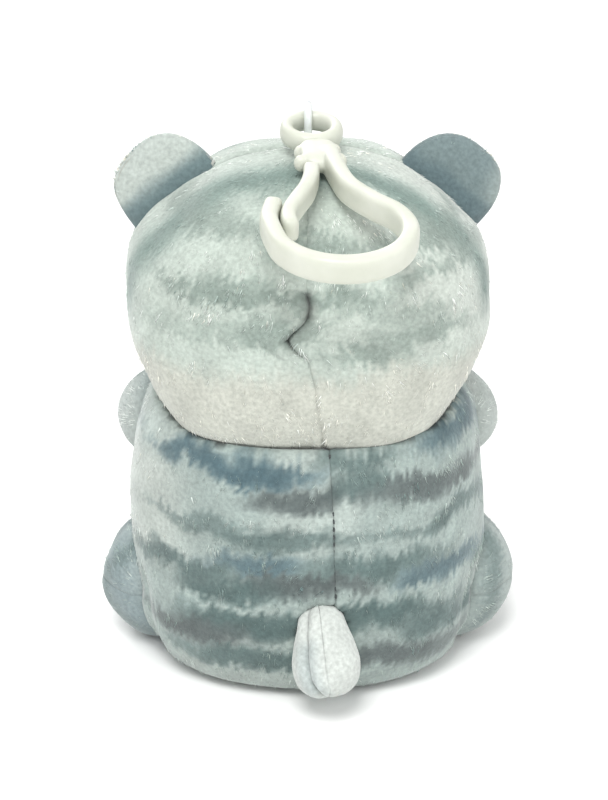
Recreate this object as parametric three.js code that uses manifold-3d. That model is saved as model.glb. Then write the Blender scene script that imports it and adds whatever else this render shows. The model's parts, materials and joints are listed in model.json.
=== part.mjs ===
// A small seated plush cat with a plastic hook on its head: cloth panels around stuffing, a soft tail,
// safety eyes, and a clear cord loop that carries a spring-gated hook.
// Units are millimetres. +Z is up, the cat faces -Y, and its own left side is +X.
import * as THREE from 'three';
import { mergeVertices } from 'three/addons/utils/BufferGeometryUtils.js';
import Module from 'manifold-3d';

const wasm = await Module();
wasm.setup();

// ---- Driving dimensions -------------------------------------------------------------------------
const CLOTH = 1.4; // plush cloth with its pile pressed flat
const GAP = 0.35; // between pieces that touch
const SEAM = 0.4; // between two panels of one cover
const FACET = 0.12; // faces flatter than this are merged

const HEAD_HALF = [31.5, 29, 26.8];
const HEAD_CENTRE = [0, 0, 66.8];
const HEAD_SQUARENESS = 2.6; // 2 is an ellipsoid, more is boxier
const HEAD_SEAM_Y = -3; // the face panel meets the back panels here
const CHEEK_PULL = 0.09; // share of the head's width that is lost above the neck
const CROWN_PULL = 0.15; // and at the crown
const HEAD_NOD = [-6, 6];
const CROWN_Z = HEAD_CENTRE[2] + HEAD_HALF[2];
const NECK_HOLE_RADIUS = 13;

const BODY_DEPTH = 0.87; // of its width
const BODY_SQUARENESS = 2.15;
const BODY_SEAM_Y = -4;
const BODY_PROFILE = [[21, 0], [26.5, 1.3], [29.6, 5], [31.4, 11], [32, 19], [31.9, 28], [31.4, 37],
  [30.3, 45], [27.6, 51], [20.5, 55.3], [8, 57.5]]; // half width and height, from the base up
const BASE_PANEL_RADIUS = 16.5;

const SHOULDER = [26.8, -9, 41.2];
const ARM_DIRECTION = [-0.16, -0.97, -0.16];
const ARM_ROOT_RADIUS = 7.8;
const ARM_SWING = [-20, 20];

const HIP = [25.2, -2.5, 12];
const SOLE_REACH = 40.7; // from the hip to the sole's seam
const LEG_DIRECTION = [-0.07, -1, -0.02];
const HIP_RADIUS = 12.2;
const LEG_LIFT = [0, 17];

const TAIL_ROOT = [-2.4, 27, 15.8];
const TAIL_DIRECTION = [-0.12, 0.5, -0.86];
const TAIL_ROOT_RADIUS = 4.2;
const TAIL_LIFT = [0, 30];

const EAR_CENTRE = [23.2, -4.5, 83.5];
const EAR_HALF = [10.2, 2.6, 11.6];
const EAR_LEAN = 42; // degrees outwards from upright

const EYE_X = 12.5;
const EYE_Z = 66;
const EYE_RADIUS = 3;
const NOSE_Z = 61;

const CORD_RADIUS = 0.7;
const LOOP_RADIUS = 2.7; // bend of the clear cord round the hook's ring
const RING_RADIUS = 4.2; // to the middle of its section
const RING_SECTION = 1.25;
const RING_DEPTH = 1.45; // section's depth over its width
const RIM = [0, -3, CROWN_Z + 4.6]; // middle of the ring's section inside the loop
const CLIP_DROP = 10.8; // degrees that the hook lies below level
const CLIP_YAW = 8; // degrees to the cat's right
const STRIP = [3, 4.6]; // the hook's section: in its plane, and across it
const GATE_STRIP = [2.5, 4.2];
const HOOK_BOW = [10.9, 39.2]; // radius and centre of the hook's round end, from the rim

// ---- Making and cutting solids ------------------------------------------------------------------
const radians = THREE.MathUtils.degToRad;

function solid(geometry) {
  const bare = geometry.clone();
  bare.deleteAttribute('normal');
  bare.deleteAttribute('uv');
  const merged = mergeVertices(bare, 1e-4);
  return new wasm.Manifold(new wasm.Mesh({
    numProp: 3,
    vertProperties: new Float32Array(merged.attributes.position.array),
    triVerts: new Uint32Array(merged.index.array),
  }));
}

function geometryOf(manifold) {
  const { vertProperties, triVerts, numProp } = manifold.getMesh();
  const places = [];
  for (let i = 0; i < vertProperties.length; i += numProp) {
    places.push(vertProperties[i], vertProperties[i + 1], vertProperties[i + 2]);
  }
  const geometry = new THREE.BufferGeometry();
  geometry.setAttribute('position', new THREE.Float32BufferAttribute(places, 3));
  geometry.setIndex([...triVerts]);
  geometry.computeVertexNormals();
  return geometry;
}

function superellipsoid(half, centre, power, around = 24, down = 14) {
  const geometry = new THREE.SphereGeometry(1, around, down);
  geometry.rotateX(Math.PI / 2);
  const place = geometry.attributes.position;
  for (let i = 0; i < place.count; i += 1) {
    const way = [place.getX(i), place.getY(i), place.getZ(i)];
    const sum = way.reduce((total, part, n) => total + Math.abs(part / half[n]) ** power, 0);
    const reach = sum ** (-1 / power);
    place.setXYZ(i, ...way.map((part, n) => centre[n] + part * reach));
  }
  return geometry;
}

// A solid of round sections: [radius, distance] pairs along a direction from a start point.
function turned(profile, start, direction, around = 16) {
  const first = profile[0];
  const last = profile[profile.length - 1];
  const outline = [[0, first[1]], ...profile, [0, last[1]]];
  const geometry = new THREE.LatheGeometry(outline.map(([r, d]) => new THREE.Vector2(r, d)), around);
  const way = new THREE.Vector3(...direction).normalize();
  geometry.applyQuaternion(new THREE.Quaternion().setFromUnitVectors(new THREE.Vector3(0, 1, 0), way));
  return geometry.translate(...start);
}

function box(low, high) {
  const size = high.map((value, n) => value - low[n]);
  const geometry = new THREE.BoxGeometry(...size);
  return geometry.translate(...low.map((value, n) => value + size[n] / 2));
}

function turnedAbout(geometry, pivot, degrees) {
  const copy = geometry.clone();
  copy.translate(-pivot[0], -pivot[1], -pivot[2]);
  copy.rotateX(radians(degrees));
  return copy.translate(...pivot);
}

// Everything that a shape passes through as it turns about an X axis at the pivot.
function swept(geometry, pivot, angles) {
  return angles.map((angle) => solid(turnedAbout(geometry, pivot, angle))).reduce((a, b) => a.add(b));
}

function mirrored(point, side) {
  return [point[0] * side, point[1], point[2]];
}

function less(distance) {
  return ([radius, along]) => [Math.max(radius - distance, 0.6), along];
}

// Section of a flat strip with bevelled edges, for sweeping along a path.
function stripSection(width, depth) {
  const [w, d] = [width / 2, depth / 2];
  const bevel = Math.min(w, d) * 0.45;
  const shape = new THREE.Shape();
  shape.moveTo(-w + bevel, -d);
  shape.lineTo(w - bevel, -d);
  shape.lineTo(w, -d + bevel);
  shape.lineTo(w, d - bevel);
  shape.lineTo(w - bevel, d);
  shape.lineTo(-w + bevel, d);
  shape.lineTo(-w, d - bevel);
  shape.lineTo(-w, -d + bevel);
  shape.closePath();
  return shape;
}

function roundSection(radius, sides) {
  const corners = [];
  for (let n = 0; n < sides; n += 1) {
    const angle = (2 * Math.PI * n) / sides;
    corners.push(new THREE.Vector2(radius * Math.cos(angle), radius * Math.sin(angle)));
  }
  return new THREE.Shape(corners);
}

function tube(points, section, steps) {
  const path = new THREE.CatmullRomCurve3(points.map((p) => new THREE.Vector3(...p)), false, 'centripetal');
  return new THREE.ExtrudeGeometry(section, { steps, bevelEnabled: false, extrudePath: path });
}

// ---- Materials ----------------------------------------------------------------------------------
const cloth = (color) => new THREE.MeshStandardMaterial({ color, roughness: 0.95, metalness: 0 });
const plastic = (color) => new THREE.MeshStandardMaterial({ color, roughness: 0.35, metalness: 0 });
const PALE = 0xbfccc6;
const DARK = 0x93a7a4;
const CREAM = 0xd3d5cc;
const WHITE = 0xf2f2ee;

const cat = new THREE.Group();

// A cut can leave scraps and slivers of faces, so flat areas are merged and the largest part is kept.
function largest(shape) {
  return shape.simplify(FACET).decompose().reduce((a, b) => (a.volume() > b.volume() ? a : b));
}

function addPiece(name, shape, material) {
  const geometry = shape.isBufferGeometry ? shape : geometryOf(largest(shape));
  const mesh = new THREE.Mesh(geometry, material);
  mesh.name = name;
  cat.add(mesh);
}

// ---- Whole outer shapes, before they are cut into panels ------------------------------------------
function ease(low, high, value) {
  const share = Math.min(Math.max((value - low) / (high - low), 0), 1);
  return share * share * (3 - 2 * share);
}

// The head narrows above the neck and again towards the crown.
function headShape(by, around, down) {
  const geometry = superellipsoid(HEAD_HALF.map((value) => value + by), HEAD_CENTRE, HEAD_SQUARENESS, around, down);
  const place = geometry.attributes.position;
  for (let i = 0; i < place.count; i += 1) {
    const z = place.getZ(i);
    place.setX(i, place.getX(i) * (1 - CHEEK_PULL * ease(66, 50, z)) * (1 - CROWN_PULL * ease(76, 92, z)));
  }
  return geometry;
}

// The body's outline, or the same outline drawn in by the inset on every side.
function bodyShape(inset) {
  const top = BODY_PROFILE[BODY_PROFILE.length - 1][1];
  const squeeze = (top - 2 * inset) / top;
  const rows = BODY_PROFILE.map(([radius, height]) => [radius - inset, inset + height * squeeze]);
  const geometry = turned(rows, [0, 0, 0], [0, 0, 1], 24);
  const place = geometry.attributes.position;
  for (let i = 0; i < place.count; i += 1) {
    const [x, y] = [place.getX(i), place.getY(i)];
    const radius = Math.hypot(x, y);
    if (radius > 1e-6) {
      const sum = Math.abs(x / radius) ** BODY_SQUARENESS + Math.abs(y / radius) ** BODY_SQUARENESS;
      const swell = sum ** (-1 / BODY_SQUARENESS);
      place.setXY(i, x * swell, y * swell * BODY_DEPTH);
    }
  }
  return geometry;
}

function armShape(side, by = 0, around = 14) {
  const root = ARM_ROOT_RADIUS + by;
  const profile = [[root * 0.5, -root * 0.87], [root * 0.87, -root * 0.5], [root, 0], [root * 0.97, 6],
    [7.3 + by, 12], [7 + by, 18], [5.6 + by, 22.5 + by / 2], [3 + by, 25 + by]];
  return turned(profile, mirrored(SHOULDER, side), mirrored(ARM_DIRECTION, side), around);
}

function legShape(side, by = 0, around = 16) {
  const root = HIP_RADIUS + by;
  const profile = [[root * 0.5, -root * 0.87], [root * 0.87, -root * 0.5], [root, 0], [root * 0.93, 8],
    [9.9 + by, 19], [10.8 + by, 31], [10.4 + by, 38], [9 + by, 42.1 + by]];
  return turned(profile, mirrored(HIP, side), mirrored(LEG_DIRECTION, side), around);
}

function tailShape(by = 0) {
  const root = TAIL_ROOT_RADIUS + by;
  const profile = [[root * 0.6, -root * 0.8], [root, 0], [5.2 + by, 3.4], [5.7 + by, 6.6], [4.9 + by, 9.8],
    [2.6 + by, 11.6 + by]];
  return turned(profile, TAIL_ROOT, TAIL_DIRECTION, 12);
}

// ---- Space that the moving pieces need ------------------------------------------------------------
const ROOM = 1; // between a moving piece's surface and what it turns in
const headSwept = swept(headShape(ROOM, 20, 12), HEAD_CENTRE, [HEAD_NOD[0], HEAD_NOD[1]]);
const armAngles = [ARM_SWING[0], 0, ARM_SWING[1]];
const tailAngles = [0, TAIL_LIFT[1] / 2, TAIL_LIFT[1]];
const legAngles = [0, -LEG_LIFT[1]];
const limbSpace = [1, -1].map((side) => (
  swept(armShape(side, ROOM, 10), SHOULDER, armAngles).add(swept(legShape(side, ROOM, 10), HIP, legAngles))
)).reduce((a, b) => a.add(b));
const tailSpace = swept(tailShape(ROOM), TAIL_ROOT, tailAngles);
const floor = solid(box([-60, -80, -20], [60, 80, 0]));

// ---- Head -----------------------------------------------------------------------------------------
const FAR = 80;
const headTop = CROWN_Z + 20;
const faceSide = solid(box([-FAR, -FAR, 0], [FAR, HEAD_SEAM_Y - SEAM / 2, headTop]));
const headBack = (side) => solid(box(
  [side > 0 ? SEAM / 2 : -FAR, HEAD_SEAM_Y + SEAM / 2, 0],
  [side > 0 ? FAR : -SEAM / 2, FAR, headTop],
));
const neckHole = solid(turned([[NECK_HOLE_RADIUS, 20], [NECK_HOLE_RADIUS, 60]], [0, 0, 0], [0, 0, 1], 20));
const cordHole = solid(turned([[3, -5], [3, 5]], [0, 0, CROWN_Z], [0, 0, 1], 12));
const knotSpace = solid(turned([[4, -11.5], [4, -1]], [0, 0, CROWN_Z], [0, 0, 1], 12));

function faceDepth(x, z) {
  const side = Math.abs(x / HEAD_HALF[0]) ** HEAD_SQUARENESS;
  const rise = Math.abs((z - HEAD_CENTRE[2]) / HEAD_HALF[2]) ** HEAD_SQUARENESS;
  return -HEAD_HALF[1] * (1 - side - rise) ** (1 / HEAD_SQUARENESS);
}

const eyeStems = [1, -1].map((side) => (
  solid(turned([[1.5, -2], [1.5, 8]], [side * EYE_X, faceDepth(EYE_X, EYE_Z), EYE_Z], [0, 1, 0], 10))
)).reduce((a, b) => a.add(b));
const washerSpace = [1, -1].map((side) => (
  solid(turned([[4.6, 1.6], [4.6, 9]], [side * EYE_X, faceDepth(EYE_X, EYE_Z), EYE_Z], [0, 1, 0], 14))
)).reduce((a, b) => a.add(b));

const headShell = solid(headShape(0)).subtract(solid(headShape(-CLOTH))).subtract(neckHole).subtract(cordHole);
addPiece('head_face', headShell.intersect(faceSide).subtract(eyeStems), cloth(PALE));
addPiece('head_back_left', headShell.intersect(headBack(1)), cloth(PALE));
addPiece('head_back_right', headShell.intersect(headBack(-1)), cloth(PALE));
addPiece(
  'head_stuffing',
  solid(headShape(-CLOTH - GAP)).subtract(knotSpace).subtract(washerSpace),
  cloth(WHITE),
);

// ---- Ears: two cloth pieces each, sewn round the edge ------------------------------------------------
const headOutside = solid(headShape(GAP));
[['left', 1], ['right', -1]].forEach(([name, side]) => {
  const ear = superellipsoid(EAR_HALF, [0, 0, 0], 2.6, 18, 12);
  ear.rotateY(radians(EAR_LEAN * side));
  ear.translate(...mirrored(EAR_CENTRE, side));
  const whole = solid(ear).subtract(headOutside);
  const middle = EAR_CENTRE[1];
  const front = solid(box([-FAR, -FAR, 0], [FAR, middle - SEAM / 2, headTop + 20]));
  const back = solid(box([-FAR, middle + SEAM / 2, 0], [FAR, FAR, headTop + 20]));
  addPiece(`ear_${name}_front`, whole.intersect(front), cloth(CREAM));
  addPiece(`ear_${name}_back`, whole.intersect(back), cloth(side > 0 ? PALE : DARK));
});

// ---- Face: eyes with stems and washers, nose and mouth ------------------------------------------------
[['left', 1], ['right', -1]].forEach(([name, side]) => {
  const surface = faceDepth(EYE_X, EYE_Z);
  const place = [side * EYE_X, surface, EYE_Z];
  const bead = solid(turned([[1.4, -2.3], [2.5, -1.7], [EYE_RADIUS, -0.9]], place, [0, 1, 0], 16));
  const stem = solid(turned([[1.1, -1.2], [1.1, 6]], place, [0, 1, 0], 10));
  addPiece(`eye_${name}`, bead.add(stem).subtract(headOutside.subtract(eyeStems)), plastic(0x1a1a1c));
  const disc = solid(turned([[4.1, 3.3], [4.1, 4.3]], place, [0, 1, 0], 14));
  addPiece(`eye_washer_${name}`, disc.subtract(eyeStems), plastic(WHITE));
});

const noseY = faceDepth(0, NOSE_Z);
const nose = turned([[1.2, -1.3], [2.2, -0.9], [2.8, 0.4]], [0, noseY, NOSE_Z], [0, 1, 0], 14);
nose.scale(1, 1, 0.72).translate(0, 0, NOSE_Z * 0.28);
addPiece('nose', solid(nose).subtract(headOutside), cloth(0xc99a98));

const mouthRows = [-5, -3.6, -1.8, 0, 1.8, 3.6, 5].map((x) => {
  const z = NOSE_Z - 4.2 - 1.5 * Math.sin((Math.PI * Math.abs(x)) / 5);
  return [x, faceDepth(x, z) - 0.75, z];
});
addPiece('mouth_thread', tube(mouthRows, roundSection(0.35, 5), 20), cloth(0x6d625f));

// The hand-sewn closing of the head's back seam: a thread that crosses the seam to and fro.
const closingRows = [];
for (let n = 0; n <= 8; n += 1) {
  const z = HEAD_CENTRE[2] - 6 + n * 1.8;
  closingRows.push([n % 2 ? 0.9 : -0.9, -faceDepth(0.9, z) + 0.75, z]);
}
addPiece('closing_thread', tube(closingRows, roundSection(0.3, 5), 32), cloth(DARK));

// ---- Body -----------------------------------------------------------------------------------------
const basePanel = turned(
  [[BASE_PANEL_RADIUS, 0], [BASE_PANEL_RADIUS, CLOTH]], [0, 0, 0], [0, 0, 1], 24,
).scale(1, BODY_DEPTH, 1);
const baseHole = turned(
  [[BASE_PANEL_RADIUS + GAP, -3], [BASE_PANEL_RADIUS + GAP, 6]], [0, 0, 0], [0, 0, 1], 24,
).scale(1, BODY_DEPTH, 1);
const bodyClear = (shape) => shape.subtract(headSwept).subtract(limbSpace).subtract(tailSpace);
const bodyShell = bodyClear(
  solid(bodyShape(0)).subtract(solid(bodyShape(CLOTH))).subtract(solid(baseHole)).subtract(neckHole),
);
const bodyFront = solid(box([-FAR, -FAR, -5], [FAR, BODY_SEAM_Y - SEAM / 2, FAR]));
const bodyBack = (side) => solid(box(
  [side > 0 ? SEAM / 2 : -FAR, BODY_SEAM_Y + SEAM / 2, -5],
  [side > 0 ? FAR : -SEAM / 2, FAR, FAR],
));
addPiece('body_front', bodyShell.intersect(bodyFront), cloth(CREAM));
addPiece('body_back_left', bodyShell.intersect(bodyBack(1)), cloth(DARK));
addPiece('body_back_right', bodyShell.intersect(bodyBack(-1)), cloth(DARK));
addPiece('base_panel', bodyClear(solid(basePanel)), cloth(DARK));
addPiece('body_stuffing', bodyClear(solid(bodyShape(CLOTH + GAP))), cloth(WHITE));

// ---- Limbs ----------------------------------------------------------------------------------------
// A cover is the outer shape less the stuffing's space, open at the root where the limb is sewn on.
function hollow(outer, inner) {
  return solid(outer).subtract(solid(inner));
}

[['left', 1], ['right', -1]].forEach(([name, side]) => {
  const shoulder = mirrored(SHOULDER, side);
  const headNear = HEAD_NOD.map((nod) => (
    swept(turnedAbout(headShape(GAP + 0.5, 20, 12), HEAD_CENTRE, nod), shoulder, armAngles)
  )).reduce((a, b) => a.add(b));
  const cover = hollow(armShape(side), armShape(side, -CLOTH)).subtract(headNear);
  const outerHalf = solid(box(
    [side > 0 ? shoulder[0] - 1 + SEAM / 2 : -FAR, -FAR, 0],
    [side > 0 ? FAR : shoulder[0] + 1 - SEAM / 2, FAR, FAR],
  ));
  const innerHalf = solid(box(
    [side > 0 ? -FAR : shoulder[0] + 1 + SEAM / 2, -FAR, 0],
    [side > 0 ? shoulder[0] - 1 - SEAM / 2 : FAR, FAR, FAR],
  ));
  addPiece(`arm_${name}_outer`, cover.intersect(outerHalf), cloth(PALE));
  addPiece(`arm_${name}_inner`, cover.intersect(innerHalf), cloth(CREAM));
  addPiece(
    `arm_${name}_stuffing`,
    solid(armShape(side, -CLOTH - GAP)).subtract(headNear),
    cloth(WHITE),
  );
});

[['left', 1], ['right', -1]].forEach(([name, side]) => {
  const hip = mirrored(HIP, side);
  const cover = hollow(legShape(side), legShape(side, -CLOTH)).subtract(floor);
  const soleY = HIP[1] - SOLE_REACH;
  const ahead = solid(box([-FAR, -FAR, -20], [FAR, soleY - SEAM / 2, FAR]));
  const behind = solid(box([-FAR, soleY + SEAM / 2, -20], [FAR, FAR, FAR]));
  const above = solid(box([-FAR, -FAR, hip[2] + SEAM / 2], [FAR, FAR, FAR]));
  const below = solid(box([-FAR, -FAR, -20], [FAR, FAR, hip[2] - SEAM / 2]));
  addPiece(`leg_${name}_upper`, cover.intersect(behind).intersect(above), cloth(PALE));
  addPiece(`leg_${name}_lower`, cover.intersect(behind).intersect(below), cloth(DARK));
  addPiece(`foot_${name}_sole`, cover.intersect(ahead), cloth(CREAM));
  addPiece(`leg_${name}_stuffing`, solid(legShape(side, -CLOTH - GAP)).subtract(floor), cloth(WHITE));
});

const tailCover = hollow(tailShape(), tailShape(-CLOTH));
const tailMouth = solid(turned([[2.2, -9], [2.2, 0]], TAIL_ROOT, TAIL_DIRECTION, 10));
[['left', 1], ['right', -1]].forEach(([name, side]) => {
  const half = solid(box(
    [side > 0 ? TAIL_ROOT[0] - 0.7 + SEAM / 2 : -FAR, -FAR, -20],
    [side > 0 ? FAR : TAIL_ROOT[0] - 0.7 - SEAM / 2, FAR, FAR],
  ));
  addPiece(`tail_${name}`, tailCover.subtract(tailMouth).intersect(half), cloth(PALE));
});
addPiece('tail_stuffing', tailShape(-CLOTH - GAP), cloth(WHITE));

// ---- The clear cord loop and the hook ---------------------------------------------------------------
// The loop's two ends go down through the crown's seam to a knot inside the stuffing.
const loopRows = [[0, -1, CROWN_Z - 6.6], [0, -1, CROWN_Z - 3], [0, -1, CROWN_Z - 0.3]];
loopRows.push([0, RIM[1] - 1.6, RIM[2] - LOOP_RADIUS]);
for (let angle = 200; angle >= -20; angle -= 20) {
  loopRows.push([
    0,
    RIM[1] + LOOP_RADIUS * Math.cos(radians(angle)),
    RIM[2] + LOOP_RADIUS * Math.sin(radians(angle)),
  ]);
}
loopRows.push([0, 0.7, CROWN_Z + 1], [0, 1, CROWN_Z - 0.7], [0, 1, CROWN_Z - 3], [0, 1, CROWN_Z - 6.6]);
addPiece('hang_loop', tube(loopRows, roundSection(CORD_RADIUS, 8), 34), plastic(0xe8eeee));
const knot = turned([[1.6, -10.6], [2.9, -9.4], [2.9, -8.2], [1.9, -7]], [0, 0, CROWN_Z], [0, 0, 1], 12);
addPiece('loop_knot', knot, plastic(0xe8eeee));

// The hook lies in its own plane first: u across, v away from the rim, then it is tilted into place.
function laid(geometry) {
  geometry.rotateX(radians(-CLIP_DROP));
  geometry.rotateZ(radians(CLIP_YAW));
  return geometry.translate(...RIM);
}

const [bowRadius, bowCentre] = HOOK_BOW;
const hookRows = [[-1.7, 13], [-2.2, 19], [-3.3, 25], [-6.4, 30.4], [-9.6, 34.6]];
for (let angle = 180; angle <= 360; angle += 22.5) {
  hookRows.push([
    bowRadius * Math.cos(radians(angle)),
    bowCentre - bowRadius * Math.sin(radians(angle)),
  ]);
}
hookRows.push([11.1, 34.6], [9.8, 30.2], [9.3, 29]);
const gateRows = [[1.9, 17.6], [2.4, 21], [3.6, 25], [5.7, 29], [7.3, 32.6], [7.9, 35.6], [7.7, 38.2]];
const inPlane = ([u, v]) => [u, v, 0];

function ring() {
  const shape = new THREE.TorusGeometry(RING_RADIUS, RING_SECTION, 8, 20);
  shape.scale(1, 1, RING_DEPTH);
  return shape.translate(0, RING_RADIUS, 0);
}

const neck = box([-3.1, 9, -1.9], [3.1, 17, 1.9]);
const bumps = [[2.9, 11.6, 1.1], [-2.9, 11.6, 1.1], [3.3, 15.2, 1.2], [-3.3, 15.2, 1.2]];
const bumpShapes = bumps.map(([u, v, r]) => new THREE.SphereGeometry(r, 10, 6).translate(u, v, 0));
const hookStrip = tube(hookRows.map(inPlane), stripSection(STRIP[1], STRIP[0]), 36);
const hook = [ring(), neck, hookStrip, ...bumpShapes].map(laid).map(solid).reduce((a, b) => a.add(b));
addPiece('clip_hook', hook, plastic(WHITE));
const gate = tube(gateRows.map(inPlane), stripSection(GATE_STRIP[1], GATE_STRIP[0]), 14);
addPiece('clip_gate', laid(gate), plastic(WHITE));

// The origin is under the middle of the cat's box, on the surface that it sits on.
const middle = new THREE.Box3().setFromObject(cat).getCenter(new THREE.Vector3());
cat.position.set(-middle.x, -middle.y, 0);

export default cat;
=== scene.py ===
import json
import math

import bmesh
import bpy
import numpy as np
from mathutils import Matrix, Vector


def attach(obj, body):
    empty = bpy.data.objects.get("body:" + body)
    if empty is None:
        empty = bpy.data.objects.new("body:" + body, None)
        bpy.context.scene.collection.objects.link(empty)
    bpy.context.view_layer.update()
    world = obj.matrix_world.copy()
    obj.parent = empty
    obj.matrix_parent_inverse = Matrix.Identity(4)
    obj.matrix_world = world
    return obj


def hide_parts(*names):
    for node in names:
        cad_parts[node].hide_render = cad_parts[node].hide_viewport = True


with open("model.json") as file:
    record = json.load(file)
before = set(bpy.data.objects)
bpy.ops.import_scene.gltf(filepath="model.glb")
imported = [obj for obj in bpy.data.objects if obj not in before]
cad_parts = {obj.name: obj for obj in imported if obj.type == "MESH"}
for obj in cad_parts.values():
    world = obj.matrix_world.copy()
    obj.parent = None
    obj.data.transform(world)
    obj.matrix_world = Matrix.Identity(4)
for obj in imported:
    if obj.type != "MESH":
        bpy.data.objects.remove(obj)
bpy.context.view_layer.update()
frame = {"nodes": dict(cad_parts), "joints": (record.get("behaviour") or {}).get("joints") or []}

# Lengths below are in millimetres, in the CAD source's own coordinates: X is the cat's left, Y its back.
MM = 0.001
JOINTS = {joint["name"]: np.array(joint["pos_m"]) / MM for joint in frame["joints"]}
SHIFT = np.array([0, JOINTS["head_nod"][1], 0])  # the CAD source centres the cat's box on the origin
SIDES = {"left": 1, "right": -1}

HEAD_CENTRE = np.array([0, 0, 66.8])
HEAD_HALF = np.array([31.5, 29, 26.8])
HEAD_POWER = 2.6
HEAD_NODS = (-6, 0, 6)
HEAD_SEAM_Y = -3
BODY_PROFILE = [
    [21, 0], [26.5, 1.3], [29.6, 5], [31.4, 11], [32, 19], [31.9, 28],
    [31.4, 37], [30.3, 45], [27.6, 51], [20.5, 55.3], [8, 57.5],
]
BODY_DEPTH = 0.87
BODY_POWER = 2.15
BODY_SEAM_Y = -4
BASE_RADIUS = 16.5
CROWN_Z = 93.6

ARM_ROOT, ARM_WAY, ARM_RADIUS = [26.8, -9, 41.2], [-0.16, -0.97, -0.16], 7.8
ARM_ROWS = [[7.3, 12], [7, 18], [5.6, 22.5], [3, 25]]
ARM_SWINGS = (-20, 0, 20)
LEG_ROOT, LEG_WAY, LEG_RADIUS = [25.2, -2.5, 12], [-0.07, -1, -0.02], 12.2
LEG_ROWS = [[9.9, 19], [10.8, 31], [10.4, 38], [9, 42.1]]
LEG_SWINGS = (0, -17)
SOLE_Y = LEG_ROOT[1] - 40.7
TAIL_ROOT, TAIL_WAY, TAIL_RADIUS = [-2.4, 27, 15.8], [-0.12, 0.5, -0.86], 4.2
TAIL_ROWS = [[5.2, 3.4], [5.7, 6.6], [4.9, 9.8], [2.6, 11.6]]
TAIL_SWINGS = (0, 15, 30)

EAR_CENTRE = [23.2, -4.5, 83.5]
EAR_HALF = [10.2, 2.6, 11.6]
EAR_POWER = 2.6
EAR_OUTWARD = {1: 0.86, -1: 0.78}  # sewn in with a little less width showing than the cut piece has
EAR_LEAN = 42  # degrees outwards
EYE_X, EYE_Z, EYE_RADIUS = 12.5, 66, 3
NOSE_Z = 61

RIM = [0, -3, CROWN_Z + 4.6]
LOOP_RADIUS = 2.7
CORD_RADIUS = 0.7
CLIP_DROP, CLIP_YAW = 10.8, 8

CLOTH = 0.9  # backing cloth without its pile
PILE_RISE = 0.9  # how far the pile stands proud of the cloth, so that its tips reach the CAD surface
ROOM = 0.8  # clear space kept round each limb's path

# Colours as they look on the screen, 0 to 255.
MINT = (206, 220, 208)
MINT_LIGHT = (220, 229, 218)
HEAD_STRIPE = (112, 137, 128)
CREAM = (219, 222, 208)
BODY_MID = (170, 187, 181)
BODY_LIGHT = (202, 214, 206)
BODY_GREY = (92, 103, 102)
BODY_STRIPE = (84, 106, 104)
BODY_BLUE = (78, 104, 112)
TAIL_PALE = (236, 243, 236)
PILE_GAMMA, PILE_GAIN = 0.84, 1.05


# ---- Numbers ------------------------------------------------------------------------------------------
def unit(vectors):
    return vectors / np.maximum(np.linalg.norm(vectors, axis=-1, keepdims=True), 1e-9)


def smooth(low, high, value):
    share = np.clip((value - low) / (high - low), 0, 1)
    return share * share * (3 - 2 * share)


def tone(colour):
    return np.array(colour, float) / 255


def mix(first, second, share):
    share = np.asarray(share)[..., None]
    return first * (1 - share) + second * share


def linear(colour):
    return np.where(colour <= 0.04045, colour / 12.92, ((colour + 0.055) / 1.055) ** 2.4)


def brighter(dye_and_shade):
    """The pile's gaps hold back light, so its fibres are paler than the plush looks."""
    return PILE_GAIN * np.clip(dye_and_shade, 0, 1) ** PILE_GAMMA


def waves(points, size, seed, count=12):
    """Soft seeded noise, about -1 to 1, with lumps about size across."""
    rng = np.random.default_rng(seed)
    total = np.zeros(points.shape[:-1])
    for _ in range(count):
        way = unit(rng.normal(size=3)) * rng.uniform(0.6, 1.4) * math.pi / size
        total += np.sin(points @ way + rng.uniform(0, 2 * math.pi))
    return total / math.sqrt(count)


def spline(points, count):
    """count points at even steps along the smooth curve through these points."""
    p = np.array(points, float)
    p = np.vstack([2 * p[0] - p[1], p, 2 * p[-1] - p[-2]])
    t = np.linspace(0, 1, 24, endpoint=False)[:, None]
    parts = [
        0.5 * (2 * b + (c - a) * t + (2 * a - 5 * b + 4 * c - d) * t**2 + (3 * b - a - 3 * c + d) * t**3)
        for a, b, c, d in zip(p, p[1:], p[2:], p[3:])
    ]
    dense = np.vstack([*parts, p[-2][None]])
    run = np.r_[0, np.cumsum(np.linalg.norm(np.diff(dense, axis=0), axis=1))]
    at = np.linspace(0, run[-1], count)
    return np.stack([np.interp(at, run, dense[:, k]) for k in range(dense.shape[1])], 1)


def turned_x(points, pivot, degrees):
    angle = math.radians(degrees)
    moved = points - pivot
    y = moved[..., 1] * math.cos(angle) - moved[..., 2] * math.sin(angle)
    z = moved[..., 1] * math.sin(angle) + moved[..., 2] * math.cos(angle)
    return np.stack([moved[..., 0], y, z], -1) + pivot


def mirrored(point, side):
    return np.array([point[0] * side, point[1], point[2]], float)


# ---- What is inside what ------------------------------------------------------------------------------
def cheek_pull(heights):
    """The head's width as a share of the plain shape's: it narrows above the neck and towards the crown."""
    return (1 - 0.09 * smooth(66, 50, heights)) * (1 - 0.15 * smooth(76, 92, heights))


def head_level(points, grow=0.0):
    """Below 1 inside the head, above 1 outside it."""
    off = (points - HEAD_CENTRE) / (HEAD_HALF + grow)
    off[..., 0] /= cheek_pull(points[..., 2])
    return (np.abs(off) ** HEAD_POWER).sum(-1)


def in_head(points, grow=0.0, nods=HEAD_NODS):
    inside = np.zeros(points.shape[:-1], bool)
    for nod in nods:
        inside |= head_level(turned_x(points, HEAD_CENTRE, -nod), grow) < 1
    return inside


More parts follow.
